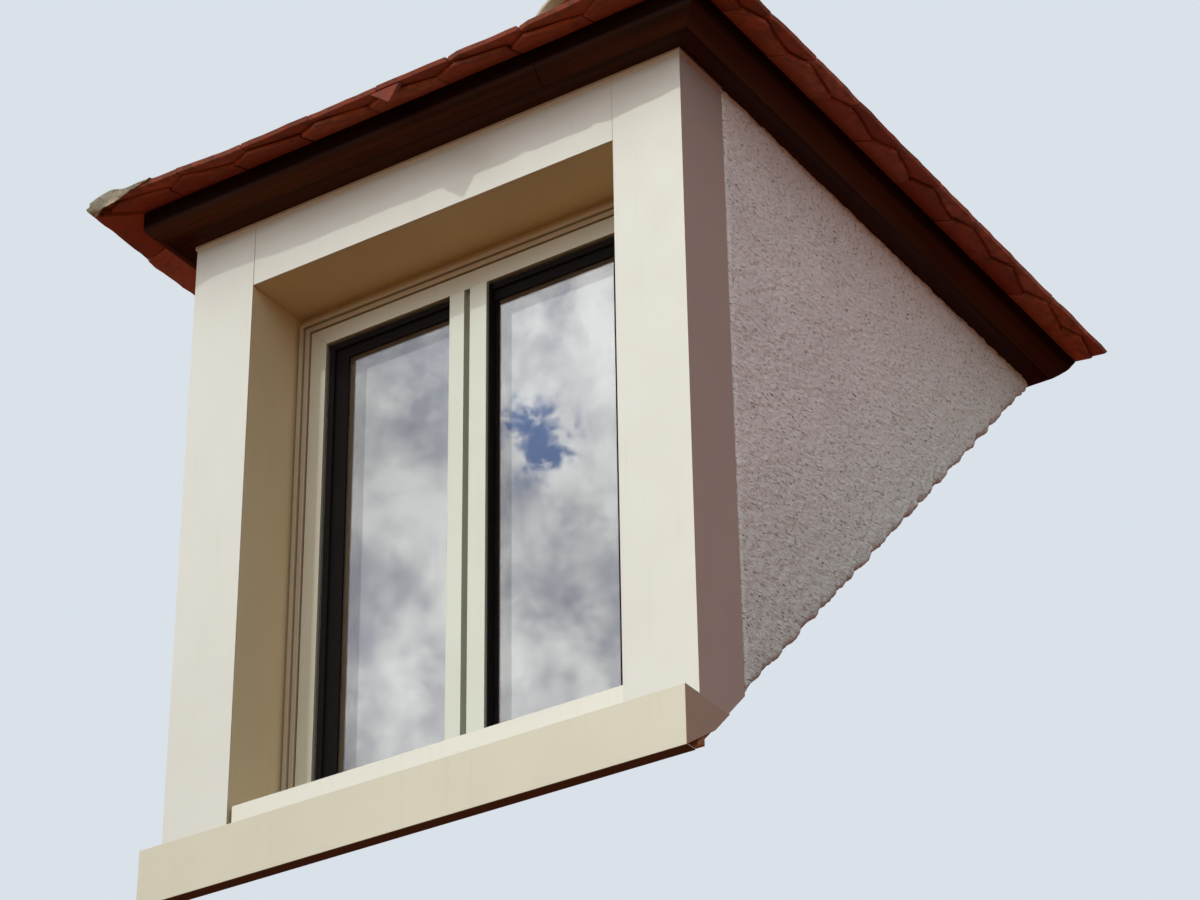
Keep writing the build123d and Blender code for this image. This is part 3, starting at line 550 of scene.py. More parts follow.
def piece(name, me, slot, *replaced):
    o = bpy.data.objects.new(name, me)
    scene.collection.objects.link(o)
    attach(o, "root")
    if replaced:
        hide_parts(*replaced)
    return o


def from_bmesh(name, bm, mat, smooth=True, angle=38.0):
    bmesh.ops.recalc_face_normals(bm, faces=bm.faces)
    me = bpy.data.meshes.new(name)
    bm.to_mesh(me)
    bm.free()
    finish_mesh(me, mat, smooth, angle)
    return me


def cut(bm, geom, point, normal, keep_gap=0.0):
    """Cuts away what lies on normal's side of a plane and closes the cut. Returns what is left of geom."""
    n = Vector(normal).normalized()
    p = Vector(point) - n * keep_gap
    made = bmesh.ops.bisect_plane(bm, geom=geom, dist=1e-6, plane_co=p, plane_no=n, clear_outer=True)
    rim = [e for e in made["geom_cut"] if isinstance(e, bmesh.types.BMEdge) and e.is_valid and e.is_boundary]
    left = [g for g in made["geom"] if g.is_valid]
    if rim:
        new = bmesh.ops.holes_fill(bm, edges=rim, sides=0)
        left += new["faces"]
    return left


def whole(bm_faces):
    vs, es = set(), set()
    for f in bm_faces:
        vs.update(f.verts)
        es.update(f.edges)
    return list(vs) + list(es) + list(bm_faces)


def grid_solid(bm, us, vs, top, bottom, place, layer=None, value=None):
    """A closed slab over a grid: top(u, v) and bottom(u, v) are heights, place(u, v, n) gives the point."""
    nu, nv = len(us), len(vs)
    T = [[bm.verts.new(place(u, v, top[i][j])) for j, v in enumerate(vs)] for i, u in enumerate(us)]
    B = [[bm.verts.new(place(u, v, bottom[i][j])) for j, v in enumerate(vs)] for i, u in enumerate(us)]
    faces = []
    for i in range(nu - 1):
        for j in range(nv - 1):
            faces.append(bm.faces.new((T[i][j], T[i + 1][j], T[i + 1][j + 1], T[i][j + 1])))
            faces.append(bm.faces.new((B[i][j], B[i][j + 1], B[i + 1][j + 1], B[i + 1][j])))
    for i in range(nu - 1):
        faces.append(bm.faces.new((T[i][0], B[i][0], B[i + 1][0], T[i + 1][0])))
        faces.append(bm.faces.new((T[i + 1][-1], B[i + 1][-1], B[i][-1], T[i][-1])))
    for j in range(nv - 1):
        faces.append(bm.faces.new((T[0][j + 1], B[0][j + 1], B[0][j], T[0][j])))
        faces.append(bm.faces.new((T[-1][j], B[-1][j], B[-1][j + 1], T[-1][j + 1])))
    if layer is not None:
        for rows in (T, B):
            for i in range(nu):
                for j in range(nv):
                    rows[i][j][layer] = value(i, j)
    return faces


# ---------------------------------------------------------------- roof covering
def top_line(s):
    """Point (over, z) of the covering's top line at a distance s up from the eave, and its direction."""
    a, b, c = Vector((OVER - 0.0025, EAVE_TOP)), Vector((KINK_OVER, KINK_TOP)), Vector((-HALF, APEX_TOP))
    first = (b - a).length
    if s < first:
        d = (b - a).normalized()
        return a + d * s, d
    d = (c - b).normalized()
    return b + d * (s - first), d


def tile(bm, layer, rng, place, width, length, thick, slant=None):
    """One plain tile: u across, v up from the tail, n down from the top at the tail."""
    b = 0.0016
    half = width / 2
    us = np.concatenate(([-half, -half + b], np.linspace(-half + b, half - b, 8)[1:-1], [half - b, half]))
    if slant:
        us = np.sort(np.append(us, -half + slant[0]))
    vs = np.concatenate(([0, b, 0.010], np.linspace(0.010, length - b, 7)[1:], [length]))
    camber, bow = rng.uniform(0.0002, 0.0013), rng.uniform(-0.0004, 0.0012)
    wave, phase, edge = rng.uniform(0.0002, 0.0010), rng.uniform(0, 6.3), rng.uniform(0, 100)
    turn = rng.normal(0, 0.0035)
    lift = rng.uniform(-0.0004, 0.0010)
    chip = rng.random() < 0.10
    side = rng.choice((-1, 1))
    top, bottom, tail = [], [], []
    for i, u in enumerate(us):
        crown = camber * (1 - (u / half) ** 2) + wave * math.sin(u * 34 + phase)
        rim_u = i in (0, len(us) - 1)
        t_row, b_row = [], []
        for j, v in enumerate(vs):
            n = crown + bow * math.sin(math.pi * v / length) + lift
            rim = rim_u or j in (0, len(vs) - 1)
            t_row.append(n - (b if rim else 0.0))
            b_row.append(n - thick + (b * 0.7 if rim else 0.0))
        top.append(t_row)
        bottom.append(b_row)
        ragged = 0.0009 * math.sin(u * 61 + edge) + 0.0006 * math.sin(u * 143 + 2 * edge) + turn * u
        if slant:
            step, back = slant
            way = u + half
            ragged += back * (1 - way / step if way < step else (way - step) / (width - step))
        if chip:
            ragged += 0.006 * max(0.0, 1 - abs(u - side * half) / 0.022)
        tail.append(ragged)
    index = {u: k for k, u in enumerate(us)}
    one, two = rng.random(), rng.random()

    fade = 0.12 if slant else 0.03

    def spot(u, v, n):
        return place(u, v + tail[index[u]] * max(0.0, 1 - v / fade), n)

    return grid_solid(bm, us, vs, top, bottom, spot, layer,
                      lambda i, j: (one, two, float(vs[j] / length), 1.0))


KICK_AT = (-0.18, -0.12, -0.09, -0.056, -0.028, 0.007, 0.05)
KICK = (0.0070, 0.0069, 0.0064, 0.0050, 0.0038, 0.0021, 0.0)
FRONT_AT = (0.365, 0.44, 0.487, 0.53, 0.61)
FRONT_KICK = (0.0, 0.0050, 0.0085, 0.0100, 0.0125)


def covering(name, node, side, seed):
    """side is +1 or -1 for the long slopes, 0 for the front one."""
    rng = np.random.default_rng(seed)
    bm = bmesh.new()
    layer = bm.verts.layers.float_color.new("tile")
    hip = 0.0015
    planes = []
    if side == 0:
        planes = [((0, APEX_Y, 0), (1, 1, 0), hip), ((0, APEX_Y, 0), (-1, 1, 0), hip)]
    else:
        planes = [((0, APEX_Y, 0), (-side, -1, 0), hip), ((0, 0, 0), (0, 1, -1), 0.0012)]

    def world(along, over, z):
        if side == 0:
            return Vector((along, FRONT - over, z))
        return Vector((side * (HALF + over), along, z))

    def course(tail, direction, length, shift, thick=TILE_T, set_back=0.0012, slant=None, course_no=0):
        d = Vector(direction).normalized()          # in (over, z), pointing up the slope
        n = Vector((d.y, -d.x)) if d.x < 0 else Vector((-d.y, d.x))
        if n.y < 0:
            n = -n
        lo = -OVER - HALF - 0.1 if side == 0 else APEX_Y - HALF - tail.x - 0.35
        hi = -lo if side == 0 else tail.y + 0.35
        k0, k1 = int(math.floor((lo - shift) / TILE_W)), int(math.ceil((hi - shift) / TILE_W))
        for k in range(k0, k1 + 1):
            middle = shift + k * TILE_W + rng.normal(0, 0.0007)
            back = rng.uniform(0, set_back * 2)
            width = TILE_W - 0.0022 - rng.uniform(0, 0.0012)

            def place(u, v, h, middle=middle, back=back):
                p = tail + d * (v + back) + n * h
                # towards the hips the lowest tiles kick up, and on the sides they lie a little further in
                if course_no == 0:
                    way, fade = middle + u, max(0.0, 1 - v / 0.10)
                    if side:
                        p.x -= fade * float(np.interp(way, KICK_AT, KICK))
                        p.y += fade * float(np.interp(way, KICK_AT, KICK))
                    else:
                        p.y += fade * float(np.interp(abs(way), FRONT_AT, FRONT_KICK))
                return world(middle + u, p.x, p.y)

            # quick test of the tile's corners against the planes
            corners = [place(u, v, h) for u in (-width / 2, width / 2) for v in (0, length) for h in (0, -thick)]
            state = "in"
            for co, no, gap in planes:
                nn = Vector(no).normalized()
                dist = [(c - Vector(co)).dot(nn) + gap for c in corners]
                if min(dist) > 0:
                    state = "out"
                    break
                if max(dist) > 0:
                    state = "cut"
            if state == "out":
                rng.random(12)
                continue
            cut_off = (slant[0] + rng.normal(0, 0.004), slant[1] * (1 + rng.normal(0, 0.12))) if slant else None
            faces = tile(bm, layer, rng, place, width, length, thick, cut_off)
            if state == "cut":
                geom = whole(faces)
                for co, no, gap in planes:
                    geom = cut(bm, geom, co, no, gap)
                    geom = whole([g for g in geom if isinstance(g, bmesh.types.BMFace) and g.is_valid])
                    if not geom:
                        break

    # the doubled course at the eave, then the courses up the slope
    # the lower ones are set back, and each one's tail is trimmed at a slant
    low = Vector((OVER - 0.0025, EAVE_UNDER - 0.0012 + TILE_T - 0.0026))
    under = Vector((-(OVER - 0.0), KINK_UNDER - EAVE_UNDER))
    under_shift = 0.0249 if side == 0 else 0.0925
    top_shift = under_shift + 0.0466
    if side < 0:
        course(low - under.normalized() * 0.0018, under, 0.147, under_shift, TILE_T - 0.0026, 0.0004, (0.030, 0.0012))
    else:
        course(low + under.normalized() * 0.0165, under, 0.134, under_shift, TILE_T - 0.0026, 0.0016, (0.048, 0.024))
    tails, dirs = [], []
    k = 0
    while True:
        p, d = top_line(k * GAUGE)
        n = Vector((-d.y, d.x)) if d.x < 0 else Vector((d.y, -d.x))
        if n.y < 0:
            n = -n
        tails.append(p + n * (0.0 if k == 0 else 0.0012))
        dirs.append(n)
        if k == 10:
            break
        k += 1
    for k in range(9):
        head = tails[k + 1] - dirs[k + 1] * TILE_T
        course(tails[k], head - tails[k], 0.195, top_shift + (0.0 if k % 2 == 0 else TILE_W / 2), course_no=k)
    if side == 0:
        # the corner of a broken tile that hangs at the eave
        rim = [(-0.0235, 1.4640), (-0.002, 1.4472), (0.0185, 1.4305), (0.0222, 1.4300), (0.0332, 1.4465), (0.0440, 1.4640)]
        front = [bm.verts.new((x, FRONT - OVER + 0.0046, z)) for x, z in rim]
        back = [bm.verts.new((x + 0.001, FRONT - OVER + 0.0145, z + 0.003)) for x, z in rim]
        # painted shade: the darkest tile tone and full tail growth, so its sunlit face reads as dark as the shaded eave
        # band
        for v in front + back:
            v[layer] = (0.0, 0.3, 0.02, 1.0)
        bm.faces.new(front[::-1])
        bm.faces.new(back)
        for i in range(len(rim)):
            j = (i + 1) % len(rim)
            bm.faces.new((front[i], front[j], back[j], back[i]))
    me = from_bmesh(name, bm, CLAY)
    return piece(name, me, "clay_tile", node)


covering("right_tiles", "right_slope_tiles", 1, 11)
covering("left_tiles", "left_slope_tiles", -1, 12)
covering("front_tiles", "front_slope_tiles", 0, 13)


def roof_top(over):
    """Height of the covering's top line at a distance over beyond the wall face."""
    over = np.asarray(over, float)
    flare = EAVE_TOP + (OVER - over) * (KINK_TOP - EAVE_TOP) / (OVER - KINK_OVER)
    main = KINK_TOP + (KINK_OVER - over)
    return np.where(over > KINK_OVER, flare, main)


def slab_from_grids(name, top, low, mat, angle=60.0):
    """A closed mesh from two grids of points of shape (rows, columns, 3)."""
    r, c = top.shape[:2]
    verts = np.concatenate([top.reshape(-1, 3), low.reshape(-1, 3)])
    i, j = np.meshgrid(np.arange(r - 1), np.arange(c - 1), indexing="ij")
    a = (i * c + j).ravel()
    quads = [np.stack([a, a + 1, a + c + 1, a + c], 1)]
    m = r * c
    quads.append(np.stack([a + m, a + c + m, a + c + 1 + m, a + 1 + m], 1))
    ring = list(range(0, c)) + [k * c + c - 1 for k in range(1, r)] \
        + [(r - 1) * c + k for k in range(c - 2, -1, -1)] + [k * c for k in range(r - 2, 0, -1)]
    ring = np.array(ring)
    nxt = np.roll(ring, -1)
    quads.append(np.stack([ring, ring + m, nxt + m, nxt], 1))
    faces = np.concatenate(quads)
    me = bpy.data.meshes.new(name)
    me.vertices.add(len(verts))
    me.vertices.foreach_set("co", verts.astype(np.float32).ravel())
    me.loops.add(4 * len(faces))
    me.loops.foreach_set("vertex_index", faces.astype(np.int32).ravel())
    me.polygons.add(len(faces))
    me.polygons.foreach_set("loop_start", np.arange(0, 4 * len(faces), 4, dtype=np.int32))
    me.update(calc_edges=True)
    bm = bmesh.new()
    bm.from_mesh(me)
    bmesh.ops.recalc_face_normals(bm, faces=bm.faces)
    bm.to_mesh(me)
    bm.free()
    finish_mesh(me, mat, True, angle)
    return me


def joined(name, meshes, mat, angle=60.0, smooth=True):
    bm = bmesh.new()
    for m in meshes:
        bm.from_mesh(m)
    me = bpy.data.meshes.new(name)
    bm.to_mesh(me)
    bm.free()
    for m in meshes:
        bpy.data.meshes.remove(m)
    finish_mesh(me, mat, smooth, angle)
    return me


# mortar over the hips, wrapped down over the tile edges at the two eave corners
def hip_band(side, seed):
    run = (HALF + OVER) * ROOT2                       # plan distance from the apex to the corner
    t = np.linspace(0.075, run + 0.060, 210)
    u = np.linspace(-1, 1, 31)
    T, U = np.meshgrid(t, u, indexing="ij")
    flat = np.stack([T.ravel(), U.ravel() * 0.0 + side * 5.0, U.ravel()], 1)
    wide = 0.046 + 0.007 * value_noise(np.stack([T.ravel(), np.sign(U.ravel()) + side * 3, 0 * T.ravel()], 1),
                                       0.055, seed) \
        + 0.004 * value_noise(np.stack([T.ravel(), np.sign(U.ravel()), 0 * T.ravel()], 1), 0.02, seed + 5)
    wide *= 1.0 + 0.25 * np.clip((T.ravel() - run + 0.25) / 0.25, 0, 1)
    wide *= np.clip((run + 0.020 - T.ravel()) / 0.060, 0.30, 1.0)
    across = U.ravel() * wide
    # plan position: along the hip and square to it
    cx = side * (T.ravel() / ROOT2) + across / ROOT2 * 1.0
    cy = APEX_Y - T.ravel() / ROOT2 + side * across / ROOT2
    over = np.maximum(np.abs(cx) - HALF, FRONT - cy)
    lump = np.sqrt(np.clip(1 - U.ravel() ** 2, 0, 1))
    p0 = np.stack([cx, cy, np.zeros_like(cx)], 1)
    h = 0.0035 + 0.0125 * lump ** 0.8 + 0.0022 * value_noise(p0, 0.045, seed + 9) \
        + 0.0012 * value_noise(p0, 0.014, seed + 11)
    h *= np.where(np.abs(U.ravel()) > 0.97, 0.15, 1.0)
    h *= np.clip((run - T.ravel()) / 0.050, 0.08, 1.0) ** 0.8
    # the crest is blunt, because the mortar rounds the fold between the two slopes
    h += 0.0105 * np.clip((T.ravel() - run + 0.24) / 0.15, 0, 1)
    z = roof_top(over) + h
    crest = roof_top(over + 0.010) + h
    z = np.where(np.abs(across) < 0.012, crest * 0.5 + z * 0.5, z)
    top = np.stack([cx, cy, z], 1).reshape(len(t), len(u), 3)
    low = top.copy()
    low[:, :, 2] -= 0.015 + 0.0105 * np.clip((T - run + 0.24) / 0.15, 0, 1) - 0.0150 * np.clip((T - run + 0.10) / 0.05, 0, 1)
    # near the eave it stays within the thickness of the tiles
    floor_z = roof_top(over).reshape(T.shape) + 0.0038
    low[:, :, 2] = np.where(T > run - 0.17, np.minimum(np.maximum(low[:, :, 2], floor_z), top[:, :, 2] - 0.0012), low[:, :, 2])
    me = slab_from_grids("hip", top, low, LIME)
    # ends flush with the two eaves
    bm = bmesh.new()
    bm.from_mesh(me)
    for co, no in (((0, FRONT - OVER + 0.0030, 0), (0, -1, 0)), ((side * (HALF + OVER - 0.0085), 0, 0), (side, 0, 0))):
        cut(bm, list(bm.verts) + list(bm.edges) + list(bm.faces), co, no)
    bm.to_mesh(me)
    bm.free()
    finish_mesh(me, LIME, True, 60)
    return me


def corner_wrap(side, seed):
    """Mortar trowelled around an eave corner: over the tile edges and a little way under them."""
    arm_front, arm_side = 0.165, 0.038
    way = np.concatenate((np.linspace(-arm_front, 0, 70), np.linspace(0, arm_side, 26)[1:]))
    lim = HALF + OVER
    rows = []
    for k, w in enumerate(way):
        a = abs(w)
        along = np.array([[w, side * 3.0, 0.0]])
        rag = float(value_noise(along, 0.016, seed)[0]) * 0.0022 + float(value_noise(along, 0.006, seed + 1)[0]) * 0.0011
        if w < 0:
            high = np.interp(a, (0, 0.015, 0.040, 0.080, 0.130, 0.165), (1.4800, 1.4858, 1.4925, 1.4930, 1.4925, 1.4915))
            low = np.interp(a, (0, 0.012, 0.026, 0.049, 0.088, 0.110, 0.135, 0.165),
                            (1.4768, 1.4695, 1.4655, 1.4655, 1.4700, 1.4780, 1.4860, 1.4890))
            lip = np.interp(a, (0, 0.015, 0.026, 0.045, 0.165), (0.006, 0.016, 0.012, 0.003, 0.002))
            keel = np.interp(a, (0, 0.010, 0.030, 0.045, 0.060, 0.165), (1.4758, 1.4625, 1.4612, 1.4640, 1.4680, 1.4890))
            edge = 0.0
        else:
            high = np.interp(a, (0, 0.015, 0.040), (1.4800, 1.4858, 1.4870))
            low = np.interp(a, (0, 0.015, 0.040), (1.4768, 1.4716, 1.4702))
            lip = np.interp(a, (0, 0.015, 0.040), (0.006, 0.014, 0.008))
            keel = np.interp(a, (0, 0.010, 0.030, 0.040), (1.4758, 1.4648, 1.4640, 1.4660))
            edge = np.interp(a, (0, 0.015, 0.040), (0.0, 0.0042, 0.0070))
        low = min(low + rag * min(1.0, a / 0.01), high - 0.0025)
        skin = 0.0006 + 0.0007 * (1 + float(value_noise(along, 0.010, seed + 2)[0]))
        mid = (low + high) / 2
        rise = 0.4149
        base = EAVE_TOP + (0.0115 if w < 0 else 0.0070)
        keel = min(keel, low)
        extra = max(high - base, -0.004)
        loop = [(0.046, base + 0.046 * rise + 0.0004), (0.030, base + 0.030 * rise + 0.45 * extra + 0.0010),
                (0.014, base + 0.014 * rise + 0.85 * extra + 0.0010), (0.0045, high + 0.0010), (0.0010 + skin, high - 0.0012),
                (skin, mid + (high - mid) * 0.5), (skin + 0.0003, mid), (skin + 0.0001, mid + (low - mid) * 0.6),
                (0.0009 + skin, low + 0.0006), (0.40 * lip, (low + keel) / 2), (lip, keel), (lip + 0.0008, keel + 0.0045),
                (0.0095, min(low + 0.0095, high - 0.001)),
                (0.0095, high - 0.0060), (0.024, base + 0.024 * rise - 0.0060), (0.046, base + 0.046 * rise - 0.0060)]
        ring = []
        for q, z in loop:
            q = q + edge
            if w < 0:
                x, y = lim - max(a, q), FRONT - OVER + q
            else:
                x, y = lim - q, FRONT - OVER + max(a, q)
            n = float(value_noise(np.array([[x, y, z]]), 0.009, seed + 4)[0]) * 0.0005
            ring.append((side * min(x, lim - 0.0003), max(y, FRONT - OVER + 0.0003), z + n))
        rows.append(ring)
    bm = bmesh.new()
    rings = [[bm.verts.new(v) for v in r] for r in rows]
    n = len(rings[0])
    for r0, r1 in zip(rings, rings[1:]):
        for i in range(n):
            bm.faces.new((r0[i], r0[(i + 1) % n], r1[(i + 1) % n], r1[i]))
    bm.faces.new(rings[0])
    bm.faces.new(rings[-1][::-1])
    return from_bmesh("corner", bm, LIME, True, 60.0)


parts = [hip_band(-1, 31), hip_band(1, 41)]
for s in (-1, 1):
    parts.append(corner_wrap(s, 57 + 4 * s))
piece("hip_mortar_bands", joined("hip_mortar_bands", parts, LIME), "lime_mortar", "hip_mortar")


# ridge tiles: half round, each one over the tail of the next, cut where they meet the main roof
def ridge():
    rng = np.random.default_rng(21)
    bm = bmesh.new()
    layer = bm.verts.layers.float_color.new("tile")
    y0, pitch_len, lap = 0.506, 0.318, 0.034
    arc = np.linspace(math.radians(-4), math.radians(184), 33)
    k = 0
    starts = []
    while y0 + k * pitch_len < 2.16:
        a = y0 + k * pitch_len
        starts.append(a)
        ys = np.concatenate(([0, 0.002], np.linspace(0.002, pitch_len + lap - 0.002, 12)[1:], [pitch_len + lap]))
        one, two, wob = rng.random(), rng.random(), rng.uniform(0, 6)
        tilt = rng.normal(0, 0.0008)
        faces = []
        rings = []
        for j, v in enumerate(ys):
            rim = j in (0, len(ys) - 1)
            r_out = 0.0895 - 0.0050 * v / (pitch_len + lap) + 0.0005 * math.sin(v * 30 + wob) - (0.0015 if rim else 0)
            r_in = r_out - 0.0125 + (0.0028 if rim else 0)
            outer = [bm.verts.new((r_out * math.cos(t), a + v, 2.075 + tilt * v + r_out * math.sin(t))) for t in arc]
            inner = [bm.verts.new((r_in * math.cos(t), a + v, 2.075 + tilt * v + r_in * math.sin(t))) for t in arc]
            loop = outer + inner[::-1]
            for w in loop:
                w[layer] = (one, two, 0.2 + 0.8 * v / (pitch_len + lap), 1)
            rings.append(loop)
        n = len(rings[0])
        for r0, r1 in zip(rings, rings[1:]):
            for i in range(n):
                faces.append(bm.faces.new((r0[i], r0[(i + 1) % n], r1[(i + 1) % n], r1[i])))
        m = len(arc)
        for r, flip in ((rings[0], False), (rings[-1], True)):
            for i in range(m - 1):
                q = (r[i], r[i + 1], r[n - 2 - i], r[n - 1 - i])
                faces.append(bm.faces.new(q if flip else q[::-1]))
        if a + pitch_len + lap > 1.95:
            cut(bm, whole(faces), (0, 0, 0), (0, 1, -1), 0.0012)
        k += 1
    me = from_bmesh("ridge_caps", bm, CLAY)
    piece("ridge_caps", me, "clay_tile", "ridge_tiles")
    return starts


ridge_starts = ridge()


# bedding mortar along both sides of the ridge, and a trowelled collar over each joint
def ridge_bedding():
    parts = []
    for side in (-1, 1):
        y = np.linspace(APEX_Y - 0.03, 2.17, 330)
        v = np.linspace(0, 1, 17)
        Y, V = np.meshgrid(y, v, indexing="ij")
        p = np.stack([np.full(Y.size, side * 0.5), Y.ravel(), V.ravel() * 0.05], 1)
        edge = 0.128 + 0.0055 * value_noise(np.stack([Y.ravel(), 0 * Y.ravel() + side, 0 * Y.ravel()], 1), 0.085, 61) \
            + 0.0035 * value_noise(np.stack([Y.ravel(), 0 * Y.ravel() + side, 0 * Y.ravel()], 1), 0.03, 63)
        edge = edge.reshape(Y.shape)
        x0, z0 = 0.072, 2.086
        x1 = edge
        z1 = roof_top(x1 - HALF) + 0.003
        x = x0 + (x1 - x0) * V
        z = z0 + (z1 - z0) * V ** 0.92
        swell = np.sin(np.pi * V) * 0.006
        n = (value_noise(p, 0.04, 65) * 0.0022 + value_noise(p, 0.013, 67) * 0.0010).reshape(Y.shape)
        off = (swell + n) / ROOT2
        top = np.stack([side * (x + off), Y, z + off], 2)
        low = top.copy()
        low[:, :, 0] -= side * 0.020
        low[:, :, 2] -= 0.020
        parts.append(slab_from_grids("bed", top, low, LIME))
    for a in [ridge_starts[0] - 0.016] + ridge_starts[1:]:
        w = np.linspace(-1, 1, 15)
        ang = np.linspace(math.radians(-10), math.radians(190), 61)
        W, A = np.meshgrid(w, ang, indexing="ij")
        flare = np.abs(np.cos(A)) ** 4
        half = 0.023 + 0.013 * flare
        y = a + 0.012 + W * half
        p = np.stack([0.1 * np.cos(A).ravel(), y.ravel(), 0.1 * np.sin(A).ravel()], 1)
        n = (value_noise(p, 0.03, 71) * 0.0016 + value_noise(p, 0.012, 73) * 0.0009).reshape(W.shape)
        lump = np.clip(1 - np.abs(W) ** 2.2, 0, 1) ** 0.5
        r = 0.0835 + 0.0100 * lump + n * (0.4 + 0.6 * lump)
        r = np.minimum(r, 0.0946)
        r = r + flare * 0.004 * lump
        top = np.stack([r * np.cos(A), y, 2.075 + np.minimum(r, 0.0946) * np.sin(A)], 2)
        low = np.stack([0.078 * np.cos(A), y, 2.075 + 0.078 * np.sin(A)], 2)
        parts.append(slab_from_grids("collar", top, low, LIME))
    # mortar that fills the front end of the first ridge tile, over the top of the two hips
    y = np.linspace(0.486, 0.640, 22)
    x = np.linspace(-1, 1, 41)
    Y, X = np.meshgrid(y, x, indexing="ij")
    wide = 0.080
    base = roof_top(np.maximum(np.abs(X * wide) - HALF, FRONT - Y)) - 0.01
    p = np.stack([X.ravel() * wide, Y.ravel(), 0 * Y.ravel()], 1)
    n = (value_noise(p, 0.03, 75) * 0.002 + value_noise(p, 0.011, 77) * 0.001).reshape(Y.shape)
    arch = 2.072 + np.sqrt(np.clip(0.0765 ** 2 - (X * wide) ** 2, 0, 1))
    grow = np.clip((Y - 0.486) / 0.030, 0, 1) ** 0.6
    top_z = np.minimum(base + 0.012 + (arch - base - 0.012) * grow + n, arch)
    top = np.stack([X * wide, Y, top_z], 2)
    low = np.stack([X * wide, Y, base], 2)
    low[:, :, 2] = np.minimum(low[:, :, 2], top_z - 0.004)
    parts.append(slab_from_grids("plug", top, low, LIME))
    me = joined("ridge_bedding", parts, LIME)
    bm = bmesh.new()
    bm.from_mesh(me)
    cut(bm, list(bm.verts) + list(bm.edges) + list(bm.faces), (0, 0, 0), (0, 1, -1), 0.0012)
    bm.to_mesh(me)
    bm.free()
    finish_mesh(me, LIME, True, 60)
    piece("ridge_bedding", me, "lime_mortar", "ridge_mortar")


ridge_bedding()


# ---------------------------------------------------------------- roof boards
def boards(name, node, mat, slot, step_dir, first, width, gap=0.0016, soft=0.0012, turn=0.0):
    """Cuts a boarded slab into boards by planes square to step_dir."""
    d = Vector(step_dir).normalized()
    src = bmesh.new()
    src.from_mesh(nodes[node].data)
    bmesh.ops.remove_doubles(src, verts=src.verts, dist=1e-5)
    bmesh.ops.dissolve_limit(src, angle_limit=0.01, verts=src.verts, edges=src.edges)
    reach = [v.co.dot(d) for v in src.verts]
    lo, hi = min(reach), max(reach)
    out = bmesh.new()
    at = first
    while at > lo:
        at -= width
    k = 0
    while at < hi:
        bm = src.copy()
        a, b = at + gap / 2, at + width - gap / 2
        cut(bm, list(bm.verts) + list(bm.edges) + list(bm.faces), d * b, d)
        if bm.faces:
            cut(bm, list(bm.verts) + list(bm.edges) + list(bm.faces), d * a, -d)
        if bm.faces:
            bmesh.ops.bevel(bm, geom=[e for e in bm.edges if e.calc_face_angle(0) > 0.6], offset=soft,
                            segments=1, affect="EDGES", clamp_overlap=True)
            tmp = bpy.data.meshes.new("t")
            bm.to_mesh(tmp)
            out.from_mesh(tmp)
            bpy.data.meshes.remove(tmp)
        bm.free()
        at += width
        k += 1
    src.free()
    me = from_bmesh(name, out, mat, False)
    return piece(name, me, slot, node)


boards("right_roof_boards", "right_boarding", BOARD_Y, "roof_boards", (-1, 0, 1), 0.63, 0.142)
boards("left_roof_boards", "left_boarding", BOARD_Y, "roof_boards", (1, 0, 1), 0.63, 0.142)
boards("front_roof_boards", "front_boarding", BOARD_X, "roof_boards", (0, 1, 1), 1.02, 0.142)


